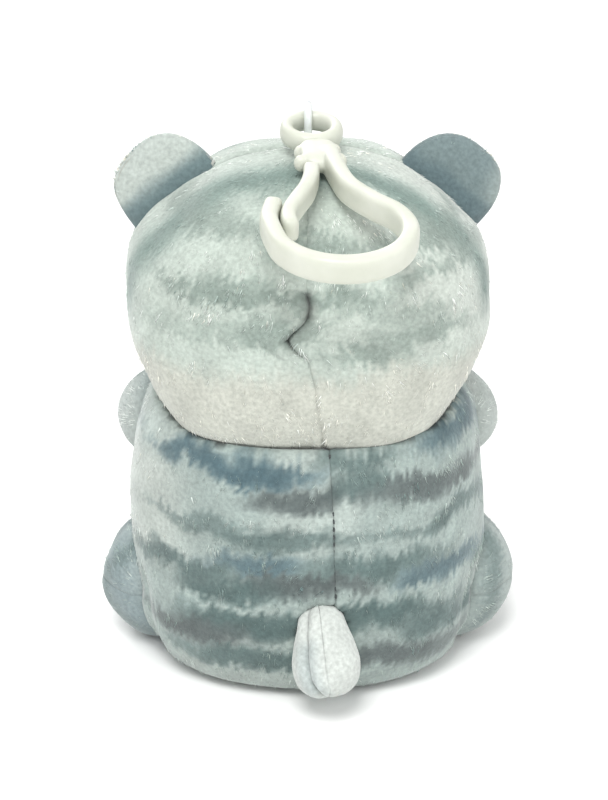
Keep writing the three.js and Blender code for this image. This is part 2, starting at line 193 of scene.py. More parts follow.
def in_body(points, grow=0.0):
    rows = np.array(BODY_PROFILE, float)
    half = np.interp(points[..., 2], rows[:, 1], rows[:, 0]) + grow
    level = np.abs(points[..., 0] / half) ** BODY_POWER
    level += np.abs(points[..., 1] / (half * BODY_DEPTH)) ** BODY_POWER
    return (level < 1) & (points[..., 2] > -grow) & (points[..., 2] < rows[-1, 1] + grow)


def limb_rows(radius, rows, grow=0.0):
    root = radius + grow
    return [
        [root * 0.5, -root * 0.87], [root * 0.87, -root * 0.5], [root, 0],
        *[[r + grow, d + (grow if n == len(rows) - 1 else 0)] for n, (r, d) in enumerate(rows)],
    ]


def in_limb(points, root, way, rows, swings):
    rows = np.array(rows, float)
    way = unit(np.array(way, float))
    inside = np.zeros(points.shape[:-1], bool)
    for swing in swings:
        back = turned_x(points, root, -swing) - root
        along = back @ way
        off = np.linalg.norm(back - along[..., None] * way, axis=-1)
        size = np.interp(along, rows[:, 1], rows[:, 0], left=0, right=0)
        inside |= off < size
    return inside


def pushed(points, ways, inside, most):
    """How far each point has to go along its way to be outside."""
    low = np.zeros(points.shape[:-1])
    high = np.full(points.shape[:-1], float(most))
    hit = inside(points)
    for _ in range(16):
        middle = (low + high) / 2
        still = inside(points + ways * middle[..., None])
        low = np.where(still, middle, low)
        high = np.where(still, high, middle)
    return np.where(hit, high, 0)


# ---- Skins: closed grids of points, with rings from pole to pole and columns round ------------------------
class Skin:
    """A cloth surface under its pile.

    p is where the cloth is, smooth_p where it was before seams and lumps, n its normal and nap the way its
    pile lies. bare is 1 where no pile grows, short scales the pile's length, gap is 1 deep in a seam and is
    also set where the cloth tucks under the head and the limbs, and darkens the colour there as painted
    shade, and dye is the colour, which on the ears' roots and in the tail's fold holds painted shade as well.
    """

    def __init__(self, points, middle, rise=PILE_RISE):
        self.p = points
        around = np.roll(points, -1, 1) - np.roll(points, 1, 1)
        down = np.gradient(points, axis=0)
        normal = np.cross(around, down)
        for end, near in ((0, 1), (-1, -2)):
            normal[end] = normal[near].mean(0)
        normal = unit(normal)
        outward = (normal * (points - middle)).sum(-1).mean()
        self.flip = outward < 0
        self.n = -normal if self.flip else normal
        self.nap = unit(down)
        self.bare = np.zeros(points.shape[:2])
        self.short = np.ones(points.shape[:2])
        self.gap = np.zeros(points.shape[:2])
        self.dye_and_shade = np.ones(points.shape)
        self.p = self.p - self.n * rise
        self.smooth_p = self.p.copy()

    def dip(self, depth):
        self.p = self.p - self.n * depth[..., None]

    def away(self, column):
        """How far along its ring each point is from a column."""
        steps = np.linalg.norm(np.roll(self.smooth_p, -1, 1) - self.smooth_p, axis=-1)
        turned = np.roll(steps, -column, axis=1)
        ahead = np.concatenate([np.zeros((len(turned), 1)), np.cumsum(turned, 1)[:, :-1]], 1)
        distance = np.minimum(ahead, turned.sum(1, keepdims=True) - ahead)
        return np.roll(distance, column, axis=1)

    def sew(self, distance, depth, width, seed):
        """A seam: the cloth dips into it in small puckers, and the pile parts over it, with painted shade
        darkening the colour deep in the groove.
        """
        depth = depth * (1 + 0.35 * waves(self.smooth_p, 2.6, seed))
        groove = depth * np.exp(-((distance / width) ** 2))
        welt = 0.18 * depth * np.exp(-((distance - 2.1 * width) / width) ** 2)
        self.dip(groove - welt)
        self.short *= 1 - 0.45 * np.exp(-((distance / (0.9 * width)) ** 2))
        # Painted shade: gap darkens the colour of the cloth and its fibres deep in the seam.
        self.gap = np.maximum(self.gap, np.exp(-((distance / (0.6 * width)) ** 2)) * np.minimum(depth, 1))

    def lumps(self, seed, large=0.45, small=0.14):
        self.dip(-large * waves(self.smooth_p, 13, seed) - small * waves(self.smooth_p, 4.5, seed + 1))


def ring_columns(columns, seam_share):
    """Angles round each ring that put columns 0 and half way on a seam, given that seam's share of the ring's
    half depth, and the back in between."""
    start = np.arcsin(np.clip(seam_share, -0.9, 0.9))[:, None]
    share = np.arange(columns)[None, :] / columns
    back = start + 2 * share * (math.pi - 2 * start)
    front = math.pi - start + (2 * share - 1) * (math.pi + 2 * start)
    return np.where(share < 0.5, back, front)


def wander(angles, offset, radius):
    """Leads the middle back column towards +X by offset, in millimetres, and eases the others along."""
    columns = angles.shape[1]
    share = np.arange(columns)[None, :] / columns
    near = np.cos(np.clip((share - 0.25) * 2 * math.pi * 1.6, -math.pi / 2, math.pi / 2)) ** 2
    return angles - near * (offset / np.maximum(radius, 3))[:, None]


def swell(angles, power):
    return (np.abs(np.cos(angles)) ** power + np.abs(np.sin(angles)) ** power) ** (-1 / power)


def turned_grid(profile, root, way, up, rings, columns):
    """A grid of round sections along a way. Columns start on the side that up gives."""
    rows = spline([[0.0, profile[0][1] - 0.02], *profile, [0.0, profile[-1][1] + 0.02]], rings)
    rows[:, 0] = np.maximum(rows[:, 0], 0)
    rows[[0, -1], 0] = 0
    way = unit(np.array(way, float))
    up = np.array(up, float)
    first = unit(up - (up @ way) * way)
    second = np.cross(way, first)
    angle = np.linspace(0, 2 * math.pi, columns, endpoint=False)
    circle = np.cos(angle)[:, None] * first + np.sin(angle)[:, None] * second
    return np.array(root) + rows[:, 1][:, None, None] * way + rows[:, 0][:, None, None] * circle[None]


# ---- Materials ----------------------------------------------------------------------------------------
def new_material(name):
    material = bpy.data.materials.new(name)
    material.use_nodes = True
    tree = material.node_tree
    return material, tree, tree.nodes["Principled BSDF"]


def noise(tree, scale, detail=3.0, stretch=None):
    place = tree.nodes.new("ShaderNodeTexCoord")
    mapping = tree.nodes.new("ShaderNodeMapping")
    mapping.inputs["Scale"].default_value = stretch or (1, 1, 1)
    texture = tree.nodes.new("ShaderNodeTexNoise")
    texture.inputs["Scale"].default_value = scale
    texture.inputs["Detail"].default_value = detail
    tree.links.new(place.outputs["Object"], mapping.inputs["Vector"])
    tree.links.new(mapping.outputs["Vector"], texture.inputs["Vector"])
    return texture.outputs["Fac"]


def ramp(tree, value, stops):
    node = tree.nodes.new("ShaderNodeValToRGB")
    for n, (at, colour) in enumerate(stops):
        stop = node.color_ramp.elements[n] if n < 2 else node.color_ramp.elements.new(at)
        stop.position = at
        stop.color = (*linear(tone(colour)), 1)
    tree.links.new(value, node.inputs["Fac"])
    return node.outputs["Color"]


def bump(tree, shader, value, strength, distance):
    node = tree.nodes.new("ShaderNodeBump")
    node.inputs["Strength"].default_value = strength
    node.inputs["Distance"].default_value = distance * MM
    tree.links.new(value, node.inputs["Height"])
    tree.links.new(node.outputs["Normal"], shader.inputs["Normal"])


def varied(tree, shader, socket, value, low, high):
    node = tree.nodes.new("ShaderNodeMapRange")
    node.inputs["To Min"].default_value = low
    node.inputs["To Max"].default_value = high
    tree.links.new(value, node.inputs["Value"])
    tree.links.new(node.outputs["Result"], shader.inputs[socket])


def knit_material():
    """The backing cloth under the pile: each place's colour, darkened as painted shade for the gaps between
    the fibres, with a fine knit.
    """
    material, tree, shader = new_material("plush_backing")
    dye_and_shade = tree.nodes.new("ShaderNodeAttribute")
    dye_and_shade.attribute_name = "DyeAndShade"
    fine = noise(tree, 1400, 4)
    shade = ramp(tree, fine, [(0.3, (222, 222, 222)), (0.7, (255, 255, 255))])
    blend = tree.nodes.new("ShaderNodeMix")
    blend.data_type = "RGBA"
    blend.blend_type = "MULTIPLY"
    blend.inputs[0].default_value = 1
    tree.links.new(dye_and_shade.outputs["Color"], blend.inputs[6])
    tree.links.new(shade, blend.inputs[7])
    tree.links.new(blend.outputs[2], shader.inputs["Base Color"])
    varied(tree, shader, "Roughness", noise(tree, 500), 0.85, 1.0)
    bump(tree, shader, noise(tree, 2200, 2), 0.6, 0.15)
    shader.inputs["Sheen Weight"].default_value = 0.3
    shader.inputs["Specular IOR Level"].default_value = 0.15
    return material


def spun_material(name, dark, light, scale, rough=(0.8, 1.0), sheen=0.25, height=0.2, stretch=None):
    """Wadding or thread: fibres of two shades with a fine relief."""
    material, tree, shader = new_material(name)
    strands = noise(tree, scale, 5, stretch)
    tree.links.new(ramp(tree, strands, [(0.35, dark), (0.65, light)]), shader.inputs["Base Color"])
    varied(tree, shader, "Roughness", strands, *rough)
    bump(tree, shader, strands, 0.7, height)
    shader.inputs["Sheen Weight"].default_value = sheen
    shader.inputs["Specular IOR Level"].default_value = 0.2
    return material


def moulded_material(name, dark, light, rough=(0.28, 0.42), clear=0.0, subsurface=0.0):
    """Moulded plastic: faint flow marks in the colour, slightly uneven gloss."""
    material, tree, shader = new_material(name)
    flow = noise(tree, 160, 3)
    tree.links.new(ramp(tree, flow, [(0.3, dark), (0.7, light)]), shader.inputs["Base Color"])
    varied(tree, shader, "Roughness", noise(tree, 900, 2), *rough)
    bump(tree, shader, noise(tree, 700, 2), 0.12, 0.05)
    shader.inputs["IOR"].default_value = 1.49
    shader.inputs["Transmission Weight"].default_value = clear
    shader.inputs["Subsurface Weight"].default_value = subsurface
    shader.inputs["Subsurface Radius"].default_value = (1.2 * MM, 1.2 * MM, 1.0 * MM)
    shader.inputs["Subsurface Scale"].default_value = 1.0
    return material


COOL_RAMP = [(62, 84, 90), (250, 253, 249)]
COOL_MIDDLE = (163, 182, 174)
WARM_RAMP = [(190, 190, 174), (253, 252, 241)]


def pile_shades():
    """The shades of the pile's fibres: from deep blue-grey to mint white, and warm ones for the cream."""
    cool = []
    for share in np.linspace(0, 1, 10):
        middle = tone(COOL_MIDDLE)
        low, high = tone(COOL_RAMP[0]), tone(COOL_RAMP[1])
        cool.append(mix(low, middle, share * 2) if share < 0.5 else mix(middle, high, share * 2 - 1))
    warm = [mix(tone(WARM_RAMP[0]), tone(WARM_RAMP[1]), share) for share in np.linspace(0, 1, 5)]
    return np.array(cool + warm)


SHADES = pile_shades()


def pile_materials():
    """One fibre material for each shade. The pile is dithered from them, strand by strand."""
    made = []
    for n, shade in enumerate(SHADES):
        material, _, shader = new_material(f"plush_fibre_{n:02d}")
        shader.inputs["Base Color"].default_value = (*linear(shade), 1)
        shader.inputs["Roughness"].default_value = 0.8
        shader.inputs["Specular IOR Level"].default_value = 0.12
        shader.inputs["Sheen Weight"].default_value = 0.2
        shader.inputs["Sheen Roughness"].default_value = 0.45
        made.append(material)
    return made


KNIT = knit_material()
FIBRES = pile_materials()
WADDING = spun_material("wadding", (226, 227, 222), (248, 248, 244), 900, height=0.35, stretch=(1, 3, 1))


# ---- Pieces -------------------------------------------------------------------------------------------
def placed(points):
    """From millimetres in the CAD source's coordinates to metres in the frame."""
    return ((np.asarray(points) + SHIFT) * MM).reshape(-1, 3)


def make_object(name, vertices, faces, material):
    mesh = bpy.data.meshes.new(name)
    mesh.from_pydata(placed(vertices), [], [list(map(int, face)) for face in faces])
    mesh.materials.append(material)
    mesh.shade_smooth()
    made = bpy.data.objects.new(name, mesh)
    bpy.context.scene.collection.objects.link(made)
    return made


def stand_for(made, body, slot, *nodes):
    """The piece rides on its body and takes the place of the CAD nodes. Its slot is not used."""
    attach(made, body)
    if nodes:
        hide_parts(*nodes)
    return made


def grid_quads(rings, columns):
    """The corners of each quad, ring by ring, as places in the flattened grid."""
    ring, column = np.meshgrid(np.arange(rings - 1), np.arange(columns), indexing="ij")
    after = (column + 1) % columns
    this, below = ring * columns, (ring + 1) * columns
    return np.stack([this + column, below + column, below + after, this + after], -1)


def quads_in(mask, rings, columns):
    return grid_quads(rings, columns)[mask[:-1]]


def panel(name, skin, mask, body, slot, nodes, thickness=CLOTH):
    """One cut piece of cloth out of a skin, as thick as its backing."""
    rings, columns = skin.p.shape[:2]
    quads = quads_in(mask, rings, columns)
    if skin.flip:
        quads = quads[:, ::-1]
    used, index = np.unique(quads, return_inverse=True)
    vertices = skin.p.reshape(-1, 3)[used]
    made = make_object(name, vertices, index.reshape(-1, 4), KNIT)
    # Painted shade: the backing is 0.8 times as bright as the fibres, for the shade between them, and darker
    # still where gap is set.
    colour = linear(brighter(skin.dye_and_shade) * (1 - 0.6 * skin.gap[..., None]) * 0.8).reshape(-1, 3)[used]
    layer = made.data.color_attributes.new("DyeAndShade", "FLOAT_COLOR", "POINT")
    layer.data.foreach_set("color", np.c_[colour, np.ones(len(colour))].astype(np.float32).ravel())
    work = bmesh.new()
    work.from_mesh(made.data)
    bmesh.ops.remove_doubles(work, verts=work.verts, dist=1e-6)
    work.to_mesh(made.data)
    work.free()
    thick = made.modifiers.new("backing", "SOLIDIFY")
    thick.thickness = thickness * MM
    thick.offset = -1
    return stand_for(made, body, slot, *nodes)


FIBRE_LENGTH = 1.9
FIBRE_WIDTH = 0.22
FIBRES_PER_MM2 = 6.4
# A fibre is a triangle at its root, a narrower one where it bends, and a tip.
FIBRE_FACES = np.array([
    [0, 1, 4], [0, 4, 3], [1, 2, 5], [1, 5, 4], [2, 0, 3],
    [2, 3, 5], [3, 4, 6], [4, 5, 6], [5, 3, 6], [2, 1, 0],
])
# Tufts are drawn out upright, except on the arms and legs, where they run from back to front.
UPRIGHT_GRAIN = np.array([1, 1, 0.35])
LEVEL_GRAIN = np.array([1, 0.35, 1])


def pile(name, skin, mask, body, slot, seed, length=FIBRE_LENGTH, density=FIBRES_PER_MM2, lay=(47, 76),
         spread=0.09, grain=UPRIGHT_GRAIN, tufts=0.26):
    """The pile of one cut piece: closed tapering fibres that rise from the cloth and bend over along the nap.

    lay is how far the root part and the tip part lean over, in degrees. spread and tufts are how much the
    shade changes from fibre to fibre and from tuft to tuft.
    """
    rng = np.random.default_rng(seed)
    rings, columns = skin.p.shape[:2]
    quads = quads_in(mask, rings, columns)
    corner = {
        key: value.reshape(rings * columns, -1)[quads]
        for key, value in {
            "p": skin.p, "n": skin.n, "nap": skin.nap, "dye_and_shade": skin.dye_and_shade,
            "bare": skin.bare, "short": skin.short, "gap": skin.gap,
        }.items()
    }
    diagonals = corner["p"][:, 2] - corner["p"][:, 0], corner["p"][:, 3] - corner["p"][:, 1]
    area = np.linalg.norm(np.cross(*diagonals), axis=1) / 2
    grown = area * density * (1 - np.clip(corner["bare"][..., 0].max(1), 0, 1))
    count = np.floor(grown + rng.random(len(grown))).astype(int)
    quad = np.repeat(np.arange(len(count)), count)
    total = len(quad)
    s, t = rng.random((2, total, 1))

    def at(key):
        c = corner[key][quad]
        return (c[:, 0] * (1 - s) + c[:, 3] * s) * (1 - t) + (c[:, 1] * (1 - s) + c[:, 2] * s) * t

    root, normal, nap = at("p"), unit(at("n")), at("nap")
    nap = unit(nap - (nap * normal).sum(1, keepdims=True) * normal)
    across = np.cross(normal, nap)
    swirl = 0.32 * waves(root, 7, seed + 1) + rng.normal(0, 0.2, total)
    nap = nap * np.cos(swirl)[:, None] + across * np.sin(swirl)[:, None]
    tuft = waves(root * grain, 0.6, seed + 3, 16) + 0.7 * waves(root * grain, 1.3, seed + 4, 16)
    long = length * at("short")[:, 0] * np.clip(rng.normal(1, 0.12, total) + 0.22 * tuft, 0.45, 1.5)
    low = np.radians(np.clip(rng.normal(lay[0], 5, total), 5, 75))[:, None]
    high = np.radians(np.clip(rng.normal(lay[1], 4, total), 20, 86))[:, None]
    first = normal * np.cos(low) + nap * np.sin(low)
    second = normal * np.cos(high) + nap * np.sin(high)
    root = root - normal * 0.15
    bend = root + first * (long * 0.42)[:, None]
    tip = bend + second * (long * 0.58)[:, None]
    width = FIBRE_WIDTH * np.clip(rng.normal(1, 0.2, total), 0.5, 1.6)[:, None]
    beside = unit(np.cross(second, normal))
    above = unit(np.cross(beside, second))
    corners = [beside * 0.5, beside * -0.5, above * 0.62]
    vertices = np.stack(
        [root + c * width for c in corners] + [bend + c * width * 0.85 for c in corners] + [tip], axis=1
    ).reshape(-1, 3)
    vertices[:, 2] = np.maximum(vertices[:, 2], 0.05)
    faces = (FIBRE_FACES[None] + 7 * np.arange(total)[:, None, None]).reshape(-1, 3)

    # Painted shade: the fibres' colour is darkened where gap is set, in seams and creases.
    colour = brighter(at("dye_and_shade")) * (1 - 0.4 * at("gap"))
    light = rng.normal(0, spread, total) + tufts * tuft + 0.02 * waves(root, 2.5, seed + 2)
    light = np.clip(light - np.where(rng.random(total) < 0.14, 0.2, 0), -0.5, 0.07)
    colour = colour * (1 + light[:, None]) + rng.normal(0, 0.012, (total, 3))
    shade = np.empty(total, int)
    for start in range(0, total, 20000):
        part = colour[start:start + 20000]
        shade[start:start + 20000] = ((part[:, None] - SHADES[None]) ** 2).sum(-1).argmin(1)

    mesh = bpy.data.meshes.new(name)
    mesh.vertices.add(len(vertices))
    mesh.vertices.foreach_set("co", placed(vertices).astype(np.float32).ravel())
    mesh.loops.add(faces.size)
    mesh.loops.foreach_set("vertex_index", faces.astype(np.int32).ravel())
    mesh.polygons.add(len(faces))
    mesh.polygons.foreach_set("loop_start", np.arange(0, faces.size, 3, dtype=np.int32))
    for material in FIBRES:
        mesh.materials.append(material)
    mesh.polygons.foreach_set("material_index", np.repeat(shade, len(FIBRE_FACES)).astype(np.int32))
    mesh.update(calc_edges=True)
    mesh.shade_smooth()
    made = bpy.data.objects.new(name, mesh)
    bpy.context.scene.collection.objects.link(made)
    return stand_for(made, body, slot)


def sweep(path, half, rings_power=3.2, around=28, flat_axis=None, caps=True):
    """Vertices and faces of a rounded strip along a path. half is its half width in the plane and across."""
    path = np.array(path, float)
    way = unit(np.gradient(path, axis=0))
    across = np.tile(np.array(flat_axis if flat_axis is not None else [0, 0, 1], float), (len(path), 1))
    inner = unit(np.cross(across, way))
    across = np.cross(way, inner)
    angle = np.linspace(0, 2 * math.pi, around, endpoint=False)
    size = (np.abs(np.cos(angle)) ** rings_power + np.abs(np.sin(angle)) ** rings_power) ** (-1 / rings_power)
    section = np.stack([np.cos(angle) * size * half[0], np.sin(angle) * size * half[1]], 1)
    end = np.ones(len(path))
    if caps:
        run = np.r_[0, np.cumsum(np.linalg.norm(np.diff(path, axis=0), axis=1))]
        near = np.minimum(run, run[-1] - run) / half[0]
        end = np.sqrt(np.clip(1 - (1 - np.clip(near, 0, 1)) ** 2, 0.02, 1))
    points = path[:, None] + end[:, None, None] * (
        inner[:, None] * section[None, :, :1] + across[:, None] * section[None, :, 1:]
    )
    count = len(path)
    faces = [list(q) for q in grid_quads(count, around).reshape(-1, 4)]
    faces.append(list(range(around)))
    faces.append(list(range((count - 1) * around, count * around))[::-1])
    return points.reshape(-1, 3), faces


def join_parts(parts):
    vertices, faces, start = [], [], 0
    for part_vertices, part_faces in parts:
        vertices.append(part_vertices)
        faces += [[int(v) + start for v in face] for face in part_faces]
        start += len(part_vertices)
    return np.vstack(vertices), faces


def strands(paths, radius, around=8):
    """Round threads along several paths, as one set of vertices and faces."""
    parts = []
    for path in paths:
        path = np.array(path, float)
        helper = [1, 0, 0] if abs(unit(path[-1] - path[0])[0]) < 0.8 else [0, 0, 1]
        parts.append(sweep(path, (radius, radius), 2.0, around, helper))
    return join_parts(parts)


def columns_mask(skin, ranges):
    mask = np.zeros(skin.p.shape[:2], bool)
    for low, high in ranges:
        mask[:, low:high] = True
    return mask


def frayed(dye_and_shade, reach, seed):
    """The colour as the pile shows it: each tuft carries its colour a little way up or down the nap."""
    rng = np.random.default_rng(seed)
    rings, columns = dye_and_shade.shape[:2]
    coarse = rng.normal(0, reach, (rings // 5 + 1, columns))
    shift = np.repeat(coarse, 5, axis=0)[:rings] + rng.normal(0, 0.5 * reach, (rings, columns))
    ring = np.clip(np.arange(rings)[:, None] + np.rint(shift).astype(int), 0, rings - 1)
    return dye_and_shade[ring, np.arange(columns)[None]]


# ---- Patches dyed darker ------------------------------------------------------------------------------
# Where the dark patches of the back lie: x, z, their half width and height, how strong, and which colour.
BACK_PATCHES = [
    (10, 44.9, 9, 1.7, 1.0, BODY_BLUE), (21.5, 45.5, 5, 1.6, 0.9, BODY_BLUE),
    (1.5, 40.2, 7, 2.0, 0.95, BODY_GREY), (-7.5, 42.5, 4.5, 2.4, 0.8, BODY_STRIPE),
    (-19.5, 40.2, 9, 1.9, 0.95, BODY_GREY), (-8, 47, 6, 1.4, 0.8, BODY_STRIPE),
    (-26, 47.4, 6, 2.0, 0.9, BODY_BLUE), (3, 32.6, 9, 1.4, 0.75, BODY_STRIPE),
    (16, 34.0, 9, 1.2, 0.6, BODY_STRIPE), (8, 27.8, 7, 2.0, 0.85, BODY_BLUE),
    (1, 23.8, 9, 1.9, 1.0, BODY_GREY), (13.5, 22.0, 8, 1.9, 1.0, BODY_STRIPE),
    (21.5, 25.5, 7, 1.7, 0.9, BODY_STRIPE), (-12, 27.2, 9, 1.8, 0.9, BODY_STRIPE),
    (-23, 23.8, 7, 1.6, 0.85, BODY_BLUE), (9.5, 15.6, 12, 2.2, 1.0, BODY_STRIPE),
    (20, 13.2, 8, 2.0, 1.0, BODY_GREY), (-13, 17.2, 9, 1.9, 1.0, BODY_STRIPE),
    (-23.5, 13.6, 7, 1.8, 0.9, BODY_STRIPE), (8, 8.6, 13, 2.2, 0.95, BODY_STRIPE),
    (-14, 8.6, 11, 2.0, 0.95, BODY_GREY), (-27, 33.5, 6, 1.5, 0.7, BODY_STRIPE),
    (-18, 32.8, 7, 1.2, 0.5, BODY_STRIPE),
]


def patched(points, ground, patches):
    """Dark patches on the back half, soft at their edges and broken up by noise."""
    x, y, z = points[..., 0], points[..., 1], points[..., 2]
    x = x + 1.6 * waves(points, 6, 75)
    z = z + 0.8 * waves(points, 7, 76) + 0.5 * waves(points, 2.2, 77)
    colour = ground
    for at_x, at_z, half_x, half_z, share, paint in patches:
        level = ((x - at_x) / half_x) ** 2 + ((z - at_z) / half_z) ** 2
        colour = mix(colour, tone(paint), share * smooth(2.8, 0.15, level) * smooth(-2, 3, y))
    return colour


HEAD_DARK = (134, 152, 142)
HEAD_PATCHES = [
    (12.5, 77.6, 11, 1.5, 0.8, HEAD_DARK), (-6.5, 77.2, 7, 1.8, 0.8, HEAD_DARK),
    (-19, 70.4, 7, 1.8, 0.7, HEAD_DARK), (-9.5, 67.4, 6, 1.4, 0.7, HEAD_DARK),
    (6.5, 71.5, 5, 2.4, 0.7, HEAD_DARK), (17, 70.5, 7, 1.3, 0.4, HEAD_DARK),
    (17, 86.0, 8, 1.5, 0.6, HEAD_DARK), (-19, 84.5, 9, 1.6, 0.7, HEAD_DARK),
    (-21, 80.0, 8, 1.3, 0.6, HEAD_DARK), (0, 83.5, 7, 1.6, 0.7, HEAD_DARK),
    (-14, 74.0, 8, 1.2, 0.5, HEAD_DARK),
]


# ---- Head ---------------------------------------------------------------------------------------------
HEAD_RINGS, HEAD_COLUMNS = 150, 320
# The back seam's place, towards the cat's left, at heights down the head. The hand-closed part is the S bend.
HEAD_BACK_SEAM = [
    [94, 0], [80, 0.3], [77.7, 0.2], [75.5, -0.3], [73.2, 0.2], [71.6, 2.2], [69.8, 3.5], [68.2, 2.4],
    [66.6, 0.1], [61.6, -1.2], [57, -1.7], [51.5, -2.6], [46, -3.4], [40, -3.6],
]
BODY_BACK_SEAM = [[57, -3.4], [46, -3.8], [37, -4.4], [28, -4.6], [20, -4.9], [10, -5.2], [0, -5.2]]


def seam_offset(heights, rows):
    rows = np.array(rows, float)[::-1]
    return np.interp(heights, rows[:, 0], rows[:, 1])


def make_head():
    theta = np.linspace(0, math.pi, HEAD_RINGS)
    wide = np.maximum(np.sin(theta), 1e-6)
    reach = (np.abs(np.cos(theta)) ** HEAD_POWER + wide**HEAD_POWER) ** (1 / HEAD_POWER)
    level = HEAD_CENTRE[2] + HEAD_HALF[2] * np.cos(theta) / reach
    fat = wide / reach
    angles = ring_columns(HEAD_COLUMNS, HEAD_SEAM_Y / (HEAD_HALF[1] * np.maximum(fat, 1e-3)))
    angles = wander(angles, seam_offset(level, HEAD_BACK_SEAM), HEAD_HALF[0] * fat)
    wide, tall = wide[:, None], np.cos(theta)[:, None] + 0 * angles
    way = np.stack([np.cos(angles) * wide, np.sin(angles) * wide, tall], -1)
    size = (np.abs(way) ** HEAD_POWER).sum(-1) ** (-1 / HEAD_POWER)
    points = HEAD_CENTRE + way * size[..., None] * HEAD_HALF
    points[..., 0] *= cheek_pull(points[..., 2])
    skin = Skin(points, HEAD_CENTRE)
    p = skin.smooth_p
    x, y, z = p[..., 0], p[..., 1], p[..., 2]

    skin.lumps(11, 0.35, 0.12)
    for column in (0, HEAD_COLUMNS // 2):
        skin.sew(skin.away(column), 0.75, 1.0, 21)
    back = skin.away(HEAD_COLUMNS // 4)
    closing = smooth(66.4, 68.2, z) * smooth(78.6, 77.0, z) * (y > 0)
    skin.sew(back, 0.6 + 0.15 * smooth(66, 60, z), 0.5, 31)
    skin.short *= 1 - 0.55 * np.exp(-((back / 0.4) ** 2))
    skin.dip(closing * 2.0 * np.exp(-((back / 0.9) ** 2)))
    # Painted shade: the colour is darkened deep in the closed opening.
    skin.gap = np.maximum(skin.gap, 1.3 * closing * np.exp(-((back / 0.95) ** 2)))
    skin.short *= 1 - 0.75 * closing * np.exp(-((back / 0.8) ** 2))
    # The closed opening's edges stand up a little, more on the cat's left.
    lip = np.exp(-(((back - 2.0) / 1.2) ** 2)) * closing
    skin.dip(-lip * np.where(x > 0.8, 0.75, 0.4))
    crown = np.linalg.norm(p - np.array([0, 0, CROWN_Z]), axis=-1)
    skin.dip(0.5 * np.exp(-((crown / 2.2) ** 2)))

    skin.bare = in_body(p, -1.2) & ~in_head(p, -3.5)
    skin.bare = np.maximum(skin.bare.astype(float), (crown < 1.0).astype(float))
    for side in SIDES.values():
        skin.bare = np.maximum(skin.bare, ear_cover(p, side))

    wobble = 1.3 * waves(p, 12, 41) + 0.5 * waves(p, 4, 42)
    colour = mix(tone(MINT), tone(MINT_LIGHT), 0.75 * smooth(-2, -16, x) * smooth(62, 70, z) * (y > -4))
    arc = np.exp(-(((y + wobble - 10.5) / 3.9) ** 2)) * smooth(66, 73, z)
    colour = mix(colour, tone(HEAD_STRIPE), 0.95 * arc)
    colour = patched(p, colour, HEAD_PATCHES)
    face_stripe = np.exp(-(((y + wobble + 14) / 2.6) ** 2)) * smooth(78, 84, z)
    colour = mix(colour, tone(HEAD_STRIPE), 0.8 * face_stripe)
    for across in (-6, 0, 6):
        stroke = np.exp(-(((x + 0.4 * wobble - across) / 1.3) ** 2)) * smooth(77, 81, z) * smooth(-8, -16, y)
        colour = mix(colour, tone(HEAD_STRIPE), 0.75 * stroke)
    cream = smooth(66.5, 61.5, z + 0.8 * wobble) * smooth(-6, -1, y)
    colour = mix(colour, tone(CREAM), cream)
    muzzle = smooth(1.15, 0.85, np.hypot(x / 15, (z - 58.5) / 9.5) + 0.04 * wobble) * (y < -10)
    colour = mix(colour, tone((226, 226, 217)), muzzle)
    skin.dye_and_shade = frayed(colour * (1 + 0.03 * waves(p, 3.4, 43))[..., None], 0.9, 44)
    beside = np.sign(-x + seam_offset(z, HEAD_BACK_SEAM))
    lean = 0.35 * smooth(12, 1, back) * beside * smooth(72, 60, z) * (y > 0)
    skin.nap = unit(skin.nap + lean[..., None] * np.array([1.0, 0, 0]))
    return skin


def ear_frame(side):
    lean = math.radians(EAR_LEAN * side)
    across = np.array([math.cos(lean), 0, -math.sin(lean)])
    up = np.array([math.sin(lean), 0, math.cos(lean)])
    return mirrored(EAR_CENTRE, side), across, up


def ear_cover(points, side):
    """1 where the head's surface is under an ear."""
    centre, across, up = ear_frame(side)
    off = points - centre
    wide, thick, tall = EAR_HALF[0] - 1.5, EAR_HALF[1] - 0.6, EAR_HALF[2] - 0.5
    level = np.abs(off @ across / wide) ** 2.2 + np.abs(off @ up / tall) ** 2.2
    level += np.abs(off[..., 1] / thick) ** 2.2
    return (level < 1).astype(float)


head = make_head()
half = HEAD_COLUMNS // 2
quarter = HEAD_COLUMNS // 4
HEAD_PANELS = {
    "head_back_left": [(0, quarter)],
    "head_back_right": [(quarter, half)],
    "head_face": [(half, HEAD_COLUMNS)],
}
for n, (name, ranges) in enumerate(HEAD_PANELS.items()):
    mask = columns_mask(head, ranges)
    panel(name + "_cloth", head, mask, "head", "plush_pale", [name])
    if name != "head_face":
        pile(name + "_pile", head, mask, "head", "plush_pale", 100 + n)
for n, (name, low) in enumerate((("right", half), ("left", half + quarter))):
    mask = columns_mask(head, [(low, low + quarter)])
    pile(f"head_face_{name}_pile", head, mask, "head", "plush_pale", 105 + n)


